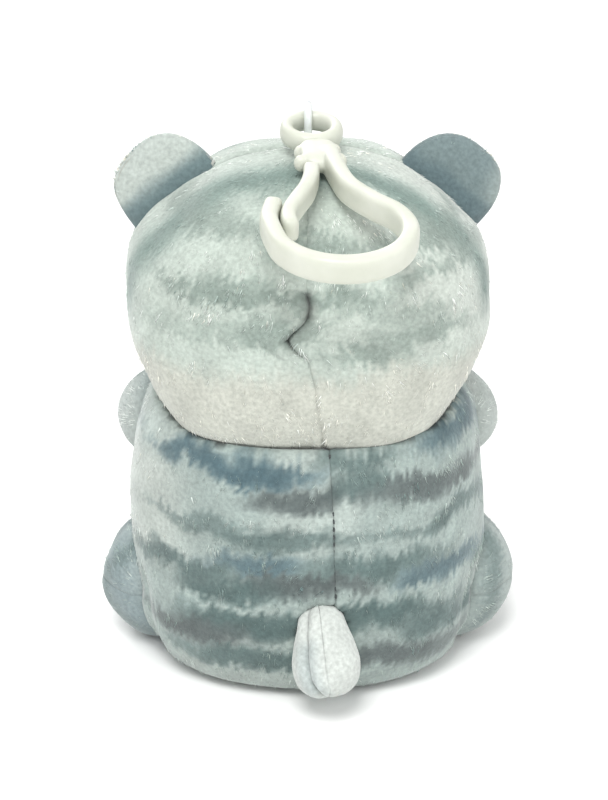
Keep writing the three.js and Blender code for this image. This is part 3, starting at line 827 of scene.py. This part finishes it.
# ---- Ears ---------------------------------------------------------------------------------------------
def make_ear(side):
    rings, columns = 61, 96
    theta = np.linspace(0, math.pi, rings)[:, None]
    angle = np.linspace(0, 2 * math.pi, columns, endpoint=False)[None] * side
    wide = np.sin(theta)
    way = np.stack([wide * np.cos(angle), np.cos(theta) + 0 * angle, wide * np.sin(angle)], -1)
    size = (np.abs(way) ** EAR_POWER).sum(-1) ** (-1 / EAR_POWER)
    local = way * size[..., None] * (np.array(EAR_HALF) - [0, 0.5, 0])
    local[..., 0] *= np.where(local[..., 0] * side > 0, EAR_OUTWARD[side], 1)
    reach = np.sin(theta) + 0 * angle
    cup = np.where(theta > math.pi / 2, 1.9, 0.5) * (1 - reach**2)
    local[..., 1] += cup - 0.9 * (local[..., 2] / EAR_HALF[2]) ** 2
    centre, across, up = ear_frame(side)
    points = centre + local[..., :1] * across + local[..., 1:2] * np.array([0, 1, 0]) + local[..., 2:] * up
    skin = Skin(points, centre, rise=0.7)
    p = skin.smooth_p
    skin.lumps(51 + side, 0.25, 0.1)
    rim = np.abs(theta - math.pi / 2) * 9 + 0 * angle
    skin.sew(rim, 0.35, 0.7, 53)
    skin.short *= 0.8
    skin.bare = (head_level(p, -1.0) < 1).astype(float)
    skin.buried = head_level(p, -2.4) < 1
    out = local[..., 0] / EAR_HALF[0] * side
    wobble = 0.12 * waves(p, 6, 55)
    # Painted shade: a dark blue-grey band on the ear at its root, where the head's edge shades it.
    root_shade = smooth(1.5, 1.14, head_level(p) + wobble)
    if side > 0:
        colour = mix(tone((203, 214, 206)), tone((100, 124, 128)), 0.9 * root_shade)
    else:
        colour = mix(tone((120, 139, 140)), tone((172, 186, 181)), 0.8 * smooth(0.3, 0.65, out + wobble))
        colour = mix(colour, tone((92, 114, 120)), 0.8 * root_shade)
    inner = mix(tone((224, 222, 213)), tone((205, 208, 199)), smooth(0.5, 1.0, reach))
    skin.dye_and_shade = mix(colour, inner, (theta > math.pi / 2) * 1.0 + 0 * angle)
    outward = local[..., :1] * across * 0.5 + (local[..., 2:] + 4) * up
    skin.nap = unit(outward)
    return skin


for name, side in SIDES.items():
    ear = make_ear(side)
    rows = np.arange(ear.p.shape[0])[:, None] + np.zeros(ear.p.shape[1], int)[None]
    for part, face in (("back", rows < 30), ("front", rows >= 30)):
        mask = face & ~ear.buried
        slot = "plush_cream" if part == "front" else ("plush_pale" if side > 0 else "plush_stripe")
        panel(f"ear_{name}_{part}_cloth", ear, mask, "head", slot, [f"ear_{name}_{part}"], 0.7)
        seed = 150 + side * 7 + len(part)
        pile(f"ear_{name}_{part}_pile", ear, mask, "head", slot, seed, 1.5, lay=(50, 78))


# ---- Body ---------------------------------------------------------------------------------------------
BODY_RINGS, BODY_COLUMNS = 150, 320


def limb_list():
    made = []
    for side in SIDES.values():
        arm = limb_rows(ARM_RADIUS, ARM_ROWS, ROOM)
        leg = limb_rows(LEG_RADIUS, LEG_ROWS, ROOM)
        made.append((mirrored(ARM_ROOT, side), mirrored(ARM_WAY, side), arm, ARM_SWINGS))
        made.append((mirrored(LEG_ROOT, side), mirrored(LEG_WAY, side), leg, LEG_SWINGS))
    made.append((np.array(TAIL_ROOT), TAIL_WAY, limb_rows(TAIL_RADIUS, TAIL_ROWS, 0.6), TAIL_SWINGS))
    return made


def in_limbs(points, at_rest=False):
    inside = np.zeros(points.shape[:-1], bool)
    for root, way, rows, swings in limb_list():
        inside |= in_limb(points, root, way, rows, (0,) if at_rest else swings)
    return inside


def striped(points, stripes, ground, seed, wobble_size=1.5):
    """A ground colour with soft broken stripes at heights."""
    z = points[..., 2]
    flat = points * np.array([1, 1, 0.35])
    wobble = wobble_size * waves(flat, 13, seed) + 0.35 * wobble_size * waves(points, 4.5, seed + 1)
    colour = ground
    for n, (height, half, share, paint) in enumerate(stripes):
        band = np.exp(-(((z + wobble - height) / half) ** 2))
        patch = 0.35 + 0.65 * smooth(-0.7, 0.5, waves(flat, 10, seed + 10 + n))
        colour = mix(colour, tone(paint), share * band * patch)
    return colour


BODY_STRIPES = [
    (44.6, 1.9, 0.9, BODY_BLUE), (38.0, 1.8, 0.7, BODY_STRIPE), (31.0, 2.0, 0.8, BODY_STRIPE),
    (24.0, 2.3, 0.9, BODY_BLUE), (16.4, 2.4, 0.9, BODY_STRIPE), (8.0, 2.4, 0.9, BODY_STRIPE),
]


def make_body():
    profile = [[0.0, 0.0], [9, 0.0], *BODY_PROFILE, [0.0, 57.9]]
    rows = spline(profile, BODY_RINGS)
    rows[:, 1] = np.maximum(rows[:, 1], 0)
    rows[:, 0] = np.maximum(rows[:, 0], 0)
    rows[[0, -1], 0] = 0
    rows = rows[::-1]  # rings run from the neck down, as the nap does
    wide = np.maximum(rows[:, 0], 1e-3)
    angles = ring_columns(BODY_COLUMNS, BODY_SEAM_Y / (wide * BODY_DEPTH))
    angles = wander(angles, seam_offset(rows[:, 1], BODY_BACK_SEAM), wide)
    size = swell(angles, BODY_POWER) * rows[:, :1]
    heights = rows[:, 1:] + 0 * angles
    points = np.stack([np.cos(angles) * size, np.sin(angles) * size * BODY_DEPTH, heights], -1)
    skin = Skin(points, np.array([0, 0, 28.0]))
    skin.p[..., 2] = np.maximum(skin.p[..., 2], 0.02)
    skin.p[-1] = skin.p[-1].mean(0)
    p = skin.smooth_p
    x, y, z = p[..., 0], p[..., 1], p[..., 2]
    above = smooth(0.5, 4, z)

    start = skin.p.copy()
    skin.lumps(61, 0.3, 0.12)
    skin.p = start + (skin.p - start) * above[..., None]
    for column in (0, BODY_COLUMNS // 2):
        skin.sew(skin.away(column), 0.6, 1.0, 63)
    back = skin.away(BODY_COLUMNS // 4)
    skin.sew(back, 0.75 * above, 0.5, 65)
    skin.short *= 1 - 0.6 * np.exp(-((back / 0.45) ** 2))
    # A soft crease where each hip swells out of the back.
    for side in SIDES.values():
        hip = mirrored(LEG_ROOT, side)
        off = np.linalg.norm((p - hip)[..., 1:], axis=-1)
        crease = np.exp(-(((off - 14.5) / 1.6) ** 2))
        crease = crease * smooth(10, 16, x * side) * smooth(24, 18, z) * (y > -2)
        skin.dip(0.7 * crease)
    skin.p[..., 2] = np.maximum(skin.p[..., 2], 0.02)

    inward = np.stack([-x, -(y + 4), 0 * z], -1)
    inward = unit(inward + 1e-6)
    limb_push = pushed(skin.p, inward, in_limbs, 26)
    skin.p = skin.p + inward * limb_push[..., None]
    down = np.zeros_like(p) + np.array([0, 0, -1.0])
    head_push = pushed(skin.p, down, lambda q: in_head(q, 0.5), 30)
    skin.p = skin.p + down * head_push[..., None]
    hidden = in_limbs(p, at_rest=True) | (head_push > 0.1) | (z < 0.6) | (skin.p[..., 2] < 0.1)
    skin.bare = hidden.astype(float)
    skin.short *= np.where(limb_push > 0.1, 0.35, 1)
    # Painted shade: the colour is darkened where the body tucks under the head, and a little under the arms,
    # legs and tail.
    skin.gap = np.maximum(skin.gap, np.where(head_push > 0, 0.8, 0.25 * (limb_push > 0)))

    ground = np.zeros_like(p) + tone(BODY_MID)
    light = smooth(-0.2, 0.9, waves(p * np.array([1, 1, 0.6]), 12, 71))
    ground = mix(ground, tone(BODY_LIGHT), 0.55 * light)
    edge = smooth(17, 26, x) * smooth(20, 26, z) * smooth(45, 40, z) * (y > 0)
    ground = mix(ground, tone((208, 217, 208)), 0.75 * edge)
    flanks = striped(p, BODY_STRIPES, ground, 73, 0.9)
    colour = mix(patched(p, ground, BACK_PATCHES), flanks, smooth(6, -2, y))
    belly = smooth(19, 14, np.abs(x)) * smooth(-8, -12, y)
    colour = mix(colour, tone(CREAM), belly)
    skin.dye_and_shade = frayed(colour * (1 + 0.04 * waves(p, 3.0, 91))[..., None], 0.55, 92)
    lean = 0.3 * smooth(14, 1, back) * np.sign(-x + seam_offset(z, BODY_BACK_SEAM)) * (y > 0)
    skin.nap = unit(skin.nap - lean[..., None] * np.array([1.0, 0, 0]))
    return skin


body = make_body()
quarter = BODY_COLUMNS // 4
flat_rows = np.linalg.norm(body.smooth_p[..., :2] / np.array([1, BODY_DEPTH]), axis=-1) < BASE_RADIUS
on_base = flat_rows & (body.smooth_p[..., 2] < 2)
BODY_PANELS = {
    "body_back_left": ([(0, quarter)], "plush_stripe"),
    "body_back_right": ([(quarter, 2 * quarter)], "plush_stripe"),
    "body_front": ([(2 * quarter, BODY_COLUMNS)], "plush_cream"),
}
for n, (name, (ranges, slot)) in enumerate(BODY_PANELS.items()):
    mask = columns_mask(body, ranges) & ~on_base
    panel(name + "_cloth", body, mask, "torso", slot, [name])
    pile(name + "_pile", body, mask, "torso", slot, 200 + n)
panel("base_panel_cloth", body, on_base, "torso", "plush_stripe", ["base_panel"])


# ---- Limbs --------------------------------------------------------------------------------------------
def make_arm(side):
    rings, columns = 76, 112
    root = mirrored(ARM_ROOT, side)
    way = mirrored(ARM_WAY, side)
    points = turned_grid(limb_rows(ARM_RADIUS, ARM_ROWS), root, way, [0, 0, 1], rings, columns)
    skin = Skin(points, root + unit(way) * 10)
    p = skin.smooth_p
    x, y = p[..., 0], p[..., 1]
    skin.lumps(301 + side, 0.3, 0.12)
    for column in (0, columns // 2):
        skin.sew(skin.away(column), 0.25, 0.7, 303)
    down = np.zeros_like(p) + np.array([0, 0, -1.0])

    def meets_head(q):
        return in_head(q, 0.5) | in_head(turned_x(q, root, 20), 0.5) | in_head(turned_x(q, root, -20), 0.5)

    push = pushed(skin.p, down, meets_head, 12)
    skin.p = skin.p + down * push[..., None]
    skin.bare = (in_body(p, -0.8) | (push > 0.1)).astype(float)
    run = -(y - root[1])
    dark, pale = ((160, 178, 178), (196, 207, 202)) if side > 0 else ((196, 207, 201), (216, 224, 219))
    ground = mix(tone(dark), tone(pale), smooth(-0.3, 0.8, waves(p, 9, 305)))
    wobble = waves(p, 6, 306)
    outer = smooth(-0.3, 0.3, (x - root[0]) * side / ARM_RADIUS)
    for at, half_width in ((2, 1.7), (9, 1.6), (16, 1.5)):
        band = np.exp(-(((run + wobble - at) / half_width) ** 2)) * outer
        ground = mix(ground, tone(BODY_STRIPE), (0.6 if side > 0 else 0.35) * band)
    skin.dye_and_shade = frayed(mix(ground, tone(CREAM), smooth(20, 22, run)), 0.7, 307)
    return skin, columns


def make_leg(side):
    rings, columns = 96, 144
    root = mirrored(LEG_ROOT, side)
    way = mirrored(LEG_WAY, side)
    points = turned_grid(limb_rows(LEG_RADIUS, LEG_ROWS), root, way, [1, 0, 0], rings, columns)
    skin = Skin(points, root + unit(way) * 15)
    p = skin.smooth_p
    x, y, z = p[..., 0], p[..., 1], p[..., 2]
    skin.lumps(401 + side, 0.4, 0.15)
    for column in (0, columns // 2):
        skin.sew(skin.away(column), 0.16, 0.7, 403)
    off_axis = np.linalg.norm(np.stack([x - root[0], z - root[2]], -1), axis=-1)
    on_rim = (y < SOLE_Y + 6) & (off_axis > 7)
    skin.sew(np.where(on_rim, np.abs(y - SOLE_Y), 9), 0.5, 0.8, 404)
    skin.p[..., 2] = np.maximum(skin.p[..., 2], 0.03)
    skin.bare = (in_body(p, -0.8) | (skin.p[..., 2] < 0.3)).astype(float)
    dark, pale = ((146, 165, 168), (178, 194, 193)) if side > 0 else ((176, 191, 186), (206, 216, 210))
    ground = mix(tone(dark), tone(pale), smooth(-0.4, 0.8, waves(p, 11, 405)))
    wobble = waves(p, 8, 406)
    run = -(y - root[1])
    for at, half_width in ((-6, 1.8), (2, 2.2), (11, 2.0), (20, 2.0), (29, 1.8)):
        band = np.exp(-(((run + 1.5 * wobble - at) / half_width) ** 2)) * smooth(1, 6, z)
        ground = mix(ground, tone(BODY_STRIPE), 0.6 * band)
    skin.dye_and_shade = frayed(mix(ground, tone(CREAM), smooth(36, 37.5, run + 0.5 * wobble)), 0.7, 407)
    return skin, columns


for name, side in SIDES.items():
    arm, columns = make_arm(side)
    first, second = ("outer", "inner") if side < 0 else ("inner", "outer")
    for n, (part, low) in enumerate(((first, 0), (second, columns // 2))):
        mask = columns_mask(arm, [(low, low + columns // 2)])
        slot = "plush_pale" if part == "outer" else "plush_cream"
        node, seed = f"arm_{name}_{part}", 310 + 4 * n + side
        panel(node + "_cloth", arm, mask, f"arm_{name}", slot, [node])
        pile(node + "_pile", arm, mask, f"arm_{name}", slot, seed, grain=LEVEL_GRAIN)
    leg, columns = make_leg(side)
    sole = leg.smooth_p[..., 1] < SOLE_Y
    for n, low in enumerate((0, columns // 2)):
        mask = columns_mask(leg, [(low, low + columns // 2)])
        above = leg.smooth_p[mask][:, 2].mean() > LEG_ROOT[2]
        part, slot = ("upper", "plush_pale") if above else ("lower", "plush_stripe")
        node, seed = f"leg_{name}_{part}", 410 + 4 * n + side
        panel(node + "_cloth", leg, mask & ~sole, f"leg_{name}", slot, [node])
        pile(node + "_pile", leg, mask & ~sole, f"leg_{name}", slot, seed, grain=LEVEL_GRAIN)
    panel(f"foot_{name}_sole_cloth", leg, sole, f"leg_{name}", "plush_cream", [f"foot_{name}_sole"])
    pile(f"foot_{name}_sole_pile", leg, sole, f"leg_{name}", "plush_cream", 430 + side, 1.6)


def make_tail():
    rings, columns = 70, 96
    points = turned_grid(limb_rows(TAIL_RADIUS, TAIL_ROWS), TAIL_ROOT, TAIL_WAY, [0, 1, 0.3], rings, columns)
    way = unit(np.array(TAIL_WAY))
    off = points - np.array(TAIL_ROOT)
    run = off @ way
    skin = Skin(points, np.array(TAIL_ROOT) + way * 4, rise=0.5)
    p = skin.smooth_p
    skin.lumps(501, 0.25, 0.0)
    # The fold runs beside the column that faces back, on its +X side.
    fold = skin.away(max((9, columns - 9), key=lambda column: skin.p[rings // 2, column, 0]))
    middle = smooth(1.0, 4.0, run) * smooth(12.2, 10.5, run)
    skin.sew(fold, 0.25 + 1.1 * middle, 0.75, 503)
    skin.sew(skin.away(columns // 2), 0.3, 0.6, 504)
    skin.short *= 0.5
    skin.bare = in_body(p, -1.5).astype(float)
    # Painted shade: the colour darkens along the tail's fold.
    fold_shade = 0.8 * middle * np.exp(-(((fold - 0.8) / 1.2) ** 2))
    shade = mix(tone(TAIL_PALE), tone((200, 213, 211)), fold_shade)
    skin.dye_and_shade = shade * (1 + 0.02 * waves(p, 3, 505))[..., None]
    return skin, columns


tail, columns = make_tail()
for n, low in enumerate((0, columns // 2)):
    mask = columns_mask(tail, [(low, low + columns // 2)])
    part = "left" if tail.smooth_p[mask][:, 0].mean() > TAIL_ROOT[0] - 0.7 else "right"
    panel(f"tail_{part}_cloth", tail, mask, "tail", "plush_pale", [f"tail_{part}"], 0.7)
    pile(f"tail_{part}_pile", tail, mask, "tail", "plush_pale", 510 + n, density=7, lay=(50, 80),
         spread=0.03, tufts=0.03)


# ---- Stuffing -----------------------------------------------------------------------------------------
STUFFED = {
    "head_stuffing": "head", "body_stuffing": "torso", "tail_stuffing": "tail",
    **{f"{limb}_{name}_stuffing": f"{limb}_{name}" for limb in ("arm", "leg") for name in SIDES},
}
clouds = bpy.data.textures.new("wadding_lumps", "CLOUDS")
clouds.noise_scale = 3.5 * MM


def make_wadding(node, body_name):
    """Fibre filling: the space inside the cloth, rounded and lumpy."""
    mesh = frame["nodes"][node].data.copy()
    mesh.materials.clear()
    mesh.materials.append(WADDING)
    made = bpy.data.objects.new(node.replace("stuffing", "wadding"), mesh)
    bpy.context.scene.collection.objects.link(made)
    fine = made.modifiers.new("fine", "REMESH")
    fine.mode = "VOXEL"
    fine.voxel_size = (0.9 if node in ("head_stuffing", "body_stuffing") else 0.6) * MM
    fine.use_smooth_shade = True
    round_off = made.modifiers.new("round", "SMOOTH")
    round_off.iterations = 14
    lumps = made.modifiers.new("lumps", "DISPLACE")
    lumps.texture = clouds
    lumps.strength = 0.9 * MM
    lumps.mid_level = 1.0
    stand_for(made, body_name, "stuffing", node)


for node, body_name in STUFFED.items():
    make_wadding(node, body_name)


# ---- Face, threads ------------------------------------------------------------------------------------
def face_y(x, z):
    side = np.abs(x / HEAD_HALF[0]) ** HEAD_POWER
    rise = np.abs((z - HEAD_CENTRE[2]) / HEAD_HALF[2]) ** HEAD_POWER
    return -HEAD_HALF[1] * (1 - side - rise) ** (1 / HEAD_POWER)


def turned_y(rows, centre, around):
    """A shape turned about the Y axis through centre, open at both ends. Rows are radius and place on Y."""
    angle = np.linspace(0, 2 * math.pi, around, endpoint=False)
    across, along, up = rows[:, :1] * np.cos(angle), rows[:, 1:] + 0 * angle, rows[:, :1] * np.sin(angle)
    points = np.stack([across, along, up], -1) + np.array(centre)
    return points.reshape(-1, 3), [list(q) for q in grid_quads(len(rows), around).reshape(-1, 4)]


def make_eye(name, side):
    """A glossy dome on a stem through the cloth, and the washer that locks it inside."""
    centre = [side * EYE_X, float(face_y(EYE_X, EYE_Z)), EYE_Z]
    dome = spline(EYE_ROWS, 72)
    around = 48
    vertices, faces = turned_y(dome, centre, around)
    faces.append(list(range(around)))
    faces.append(list(range((len(dome) - 1) * around, len(dome) * around))[::-1])
    made = make_object(f"eye_{name}_dome", vertices, faces, EYE_GLOSS)
    stand_for(made, "head", "eye_black", f"eye_{name}")

    dense = []
    for a, b in zip(WASHER_ROWS, WASHER_ROWS[1:]):
        dense += [[a[0] + (b[0] - a[0]) * s, a[1] + (b[1] - a[1]) * s] for s in (0, 0.25, 0.5, 0.75)]
    around = 64
    vertices, faces = turned_y(np.array(dense, float), centre, around)
    last = (len(dense) - 1) * around
    for j in range(around):
        after = (j + 1) % around
        faces.append([last + j, last + after, after, j])
    made = make_object(f"eye_washer_{name}_ring", vertices, faces, WASHER_PLASTIC)
    stand_for(made, "head", "washer_plastic", f"eye_washer_{name}")


EYE_GLOSS = moulded_material("eye_black", (14, 14, 16), (24, 24, 27), (0.05, 0.12))
WASHER_PLASTIC = moulded_material("washer_plastic", (226, 228, 224), (240, 241, 238), (0.4, 0.55))
# Radius and place along the stem, from the front.
EYE_ROWS = [
    [0.05, -2.45], [1.0, -2.35], [1.9, -2.0], [2.6, -1.4], [EYE_RADIUS, -0.6], [2.75, 0.0],
    [1.3, 0.35], [1.1, 1.2], [1.05, 3.6], [1.15, 4.4], [0.9, 5.9], [0.05, 6.0],
]
WASHER_ROWS = [
    [1.25, 3.45], [3.9, 3.3], [4.1, 3.5], [4.1, 4.1], [3.9, 4.3],
    [3.2, 4.3], [3.0, 4.05], [1.6, 4.05], [1.25, 4.3], [1.25, 3.45],
]
for name, side in SIDES.items():
    make_eye(name, side)

NOSE_THREAD = spun_material(
    "nose_thread", (176, 128, 126), (214, 166, 162), 1800, (0.5, 0.7), 0.5, 0.1, (1, 1, 0.2)
)
DARK_THREAD = spun_material("dark_thread", (38, 44, 44), (70, 76, 76), 1800, (0.6, 0.8), 0.3, 0.1)
PALE_THREAD = spun_material("closing_thread", (116, 130, 124), (150, 163, 156), 1800, (0.6, 0.8), 0.3, 0.1)


def nose_paths():
    """Satin stitch: upright threads side by side over a padded triangle."""
    paths = []
    for x in np.linspace(-2.6, 2.6, 15):
        top = NOSE_Z + 1.55 - 0.12 * x * x
        bottom = NOSE_Z - 2.0 + 1.15 * abs(x)
        z = np.linspace(top, bottom, 9)
        crown = 0.95 * np.sin(np.linspace(0, math.pi, 9)) ** 0.6 * (1 - (x / 3.4) ** 2)
        paths.append(np.stack([np.full(9, x), face_y(x, z) - 0.35 - crown, z], 1))
    return paths


made = make_object("nose_stitches", *strands(nose_paths(), 0.21), NOSE_THREAD)
stand_for(made, "head", "nose_thread", "nose")

mouth = []
for side in SIDES.values():
    across = np.linspace(0, 5 * side, 22)
    z = NOSE_Z - 4.2 - 1.5 * np.sin(math.pi * np.abs(across) / 5)
    mouth.append(np.stack([across, face_y(across, z) - 0.75, z], 1))
drop = np.linspace(NOSE_Z - 2.0, NOSE_Z - 4.2, 8)
mouth.append(np.stack([0 * drop, face_y(0 * drop, drop) - 0.75, drop], 1))
made = make_object("mouth_stitches", *strands(mouth, 0.3), DARK_THREAD)
stand_for(made, "head", "dark_thread", "mouth_thread")


def on_seam(skin, column, height, lift):
    """The point of a seam column at a height, lifted off the cloth."""
    z = skin.p[:, column, 2]
    order = np.argsort(z)
    where = [np.interp(height, z[order], skin.p[order, column, k]) for k in range(3)]
    normal = unit(np.array([np.interp(height, z[order], skin.n[order, column, k]) for k in range(3)]))
    return np.array(where) + normal * lift, normal


closing = []
for n, height in enumerate(np.arange(67.4, 77.6, 1.05)):
    middle, normal = on_seam(head, HEAD_COLUMNS // 4, height, 1.15)
    slant = 0.45 if n % 2 else -0.2
    closing.append([
        middle + np.array([s * 0.85, 0, s * slant]) - normal * 0.55 * s * s * 1.3
        for s in np.linspace(-1, 1, 9)
    ])
made = make_object("closing_stitches", *strands(closing, 0.14), PALE_THREAD)
stand_for(made, "head", "dark_thread", "closing_thread")


def seam_dashes(skin, column, low, high, lift, dash=0.95, gap=0.45, jitter=0.12, seed=7):
    rng = np.random.default_rng(seed)
    rows, height = [], low
    while height < high:
        row = []
        for share in np.linspace(0, 1, 5):
            proud = lift + 0.12 * math.sin(math.pi * share)
            point, _ = on_seam(skin, column, height + dash * share, proud)
            row.append(point + np.array([rng.normal(0, jitter * 0.3), 0, 0]))
        rows.append(row)
        height += dash + gap
    return rows


dashes = seam_dashes(body, BODY_COLUMNS // 4, 21.5, 50.5, 1.25)
made = make_object("back_seam_stitches", *strands(dashes, 0.19), DARK_THREAD)
stand_for(made, "torso", "dark_thread")


# ---- Clear cord loop and snap hook --------------------------------------------------------------------
CLEAR = moulded_material(
    "clear_cord", (226, 233, 231), (240, 245, 243), (0.08, 0.18), clear=0.35, subsurface=0.3
)
HOOK_PLASTIC = moulded_material(
    "hook_plastic", (186, 189, 176), (197, 199, 188), (0.3, 0.42), subsurface=0.25
)


def loop_route():
    """Up out of the crown, round the hook's ring and back in."""
    rows = [[0, -1, CROWN_Z - 6.6], [0, -1, CROWN_Z - 3], [0, -1, CROWN_Z - 0.3]]
    rows.append([0, RIM[1] - 1.6, RIM[2] - LOOP_RADIUS])
    for angle in range(200, -21, -20):
        turn = math.radians(angle)
        rows.append([0, RIM[1] + LOOP_RADIUS * math.cos(turn), RIM[2] + LOOP_RADIUS * math.sin(turn)])
    rows += [[0, 0.7, CROWN_Z + 1], [0, 1, CROWN_Z - 0.7], [0, 1, CROWN_Z - 3], [0, 1, CROWN_Z - 6.6]]
    return spline(rows, 34)


def make_loop():
    route = placed(loop_route())
    curve = bpy.data.curves.new("hang_loop_cord", "CURVE")
    curve.dimensions = "3D"
    curve.bevel_depth = CORD_RADIUS * MM
    curve.bevel_resolution = 6
    curve.use_fill_caps = True
    line = curve.splines.new("POLY")
    line.points.add(len(route) - 1)
    for point, place in zip(line.points, route):
        point.co = (*place, 1)
    line.use_smooth = True
    curve.materials.append(CLEAR)
    made = bpy.data.objects.new("hang_loop_cord", curve)
    bpy.context.scene.collection.objects.link(made)
    stand_for(made, "loop", "cord_clear", "hang_loop")


def make_knot():
    """The cord's ends, wound three times round under the crown."""
    turns = []
    for share in np.linspace(0, 1, 140):
        angle = 2 * math.pi * 3 * share
        radius = 1.75 + 0.35 * math.cos(2 * math.pi * 2 * share)
        turns.append([radius * math.cos(angle), radius * math.sin(angle), CROWN_Z - 10.0 + 2.9 * share])
    vertices, faces = strands([turns], 0.68, 12)
    stand_for(make_object("loop_knot_tied", vertices, faces, CLEAR), "loop", "cord_clear", "loop_knot")


make_knot()
make_loop()


def laid(points):
    """From the hook's own plane, u across and v away from the rim, to its place."""
    drop, yaw = math.radians(-CLIP_DROP), math.radians(CLIP_YAW)
    u, v, w = points[..., 0], points[..., 1], points[..., 2]
    y, z = v * math.cos(drop) - w * math.sin(drop), v * math.sin(drop) + w * math.cos(drop)
    x, y = u * math.cos(yaw) - y * math.sin(yaw), u * math.sin(yaw) + y * math.cos(yaw)
    return np.stack([x, y, z], -1) + np.array(RIM)


def flat_path(rows, count):
    rows = np.array([[u, v, 0] for u, v in rows], float)
    return spline(rows, count)


def ball(centre, radius, stretch=(1, 1, 1), rings=24, around=32):
    theta = np.linspace(0, math.pi, rings)[:, None]
    angle = np.linspace(0, 2 * math.pi, around, endpoint=False)[None]
    wide = np.sin(theta)
    way = np.stack([wide * np.cos(angle), wide * np.sin(angle), np.cos(theta) + 0 * angle], -1)
    faces = [list(q) for q in grid_quads(rings, around).reshape(-1, 4)]
    return (way * radius * np.array(stretch) + np.array(centre)).reshape(-1, 3), faces


def hook_parts():
    """The moulding's shapes in the hook's own plane: bow, ring, neck and four small bumps."""
    bow = [[-1.7, 12], [-1.8, 15], [-2.2, 19], [-3.3, 25], [-6.4, 30.4], [-9.6, 34.6]]
    for angle in np.arange(180, 361, 22.5):
        turn = math.radians(angle)
        bow.append([10.9 * math.cos(turn), 39.2 - 10.9 * math.sin(turn)])
    bow += [[11.1, 34.6], [9.8, 30.2], [9.3, 29]]
    strip = sweep(flat_path(bow, 240), (1.5, 2.3), 4.0, 36)
    angle = np.linspace(0, 2 * math.pi, 97)
    circle = np.stack([4.2 * np.cos(angle), 4.2 + 4.2 * np.sin(angle), 0 * angle], 1)
    ring = sweep(circle, (1.25, 1.25 * 1.45), 2.3, 28, caps=False)
    neck = sweep(np.array([[0, v, 0] for v in np.linspace(8.6, 17.4, 40)]), (3.1, 1.9), 4.0, 36)
    bumps = [ball([u, v, 0], r, (1, 1, 1.25)) for u, v, r in
             ((2.9, 11.6, 1.1), (-2.9, 11.6, 1.1), (3.3, 15.2, 1.2), (-3.3, 15.2, 1.2))]
    return join_parts([strip, ring, neck, *bumps])


vertices, faces = hook_parts()
hook = make_object("clip_hook_moulding", laid(vertices), faces, HOOK_PLASTIC)
one = hook.modifiers.new("one_moulding", "REMESH")
one.mode = "VOXEL"
one.voxel_size = 0.2 * MM
one.use_smooth_shade = True
fillet = hook.modifiers.new("fillets", "SMOOTH")
fillet.iterations = 5
stand_for(hook, "hook", "hook_plastic", "clip_hook")

gate_rows = [[1.9, 17.6], [2.4, 21], [3.7, 25], [5.8, 29], [7.5, 32.6], [8.0, 35.6], [7.7, 38.2]]
vertices, faces = sweep(flat_path(gate_rows, 110), (1.35, 2.1), 4.0, 36)
gate = make_object("clip_gate_tongue", laid(vertices), faces, HOOK_PLASTIC)
stand_for(gate, "gate", "hook_plastic", "clip_gate")


# ---- Floor, light, camera -----------------------------------------------------------------------------
FLOOR_HALF, FLOOR_Z = 3.0, -0.0002  # metres


def make_floor():
    mesh = bpy.data.meshes.new("floor")
    sides = ((-1, -1), (1, -1), (1, 1), (-1, 1))
    mesh.from_pydata([(x * FLOOR_HALF, y * FLOOR_HALF, FLOOR_Z) for x, y in sides], [], [(0, 1, 2, 3)])
    material, tree, shader = new_material("studio_paper")
    paper = ramp(tree, noise(tree, 6), [(0.3, (243, 243, 242)), (0.7, (247, 247, 246))])
    tree.links.new(paper, shader.inputs["Base Color"])
    shader.inputs["Roughness"].default_value = 0.9
    shader.inputs["Specular IOR Level"].default_value = 0.1
    mesh.materials.append(material)
    floor = bpy.data.objects.new("floor", mesh)
    bpy.context.scene.collection.objects.link(floor)


def make_lamp(name, place, size, power):
    """A square soft light that points at the cat."""
    lamp = bpy.data.lights.new(name, "AREA")
    lamp.shape = "SQUARE"
    lamp.size = size
    lamp.energy = power
    made = bpy.data.objects.new(name, lamp)
    made.location = place
    made.rotation_euler = Vector(AIM - np.array(place)).to_track_quat("-Z", "Y").to_euler()
    bpy.context.scene.collection.objects.link(made)


def make_sky():
    """White above, and a little greyer towards the horizon and below."""
    world = bpy.data.worlds.new("studio")
    world.use_nodes = True
    tree = world.node_tree
    place = tree.nodes.new("ShaderNodeTexCoord")
    split = tree.nodes.new("ShaderNodeSeparateXYZ")
    tree.links.new(place.outputs["Generated"], split.inputs["Vector"])
    sky = ramp(tree, split.outputs["Z"], [(0.0, (205, 206, 207)), (0.9, (255, 255, 255))])
    tree.links.new(sky, tree.nodes["Background"].inputs["Color"])
    tree.nodes["Background"].inputs["Strength"].default_value = SKY_STRENGTH
    bpy.context.scene.world = world


SKY_STRENGTH = 1.05
AIM = np.array([0, 0, 0.05])
make_sky()
make_floor()
make_lamp("key", (0.1, 0.5, 0.8), 0.35, 5.6)
make_lamp("front", (0.25, -0.6, 0.5), 0.5, 2.4)
make_lamp("fill", (-0.45, 0.6, 0.4), 0.5, 1.5)

# The camera looks at the cat's back from a little above.
ELEVATION, DISTANCE, LENS = 23, 0.45, 113.4
LOOK_AT = (0, -0.0012, 0.048)
tilt = math.radians(ELEVATION)
camera = bpy.data.objects.new("camera", bpy.data.cameras.new("camera"))
camera.data.lens = LENS
camera.data.sensor_width = 36
camera.data.shift_x = -0.005
camera.data.shift_y = -0.005
camera.data.clip_start = 0.05
camera.location = (LOOK_AT[0], LOOK_AT[1] + DISTANCE * math.cos(tilt), LOOK_AT[2] + DISTANCE * math.sin(tilt))
camera.rotation_euler = (math.radians(90 - ELEVATION), 0, math.pi)
bpy.context.scene.collection.objects.link(camera)
bpy.context.scene.camera = camera
bpy.context.scene.view_settings.view_transform = "Standard"
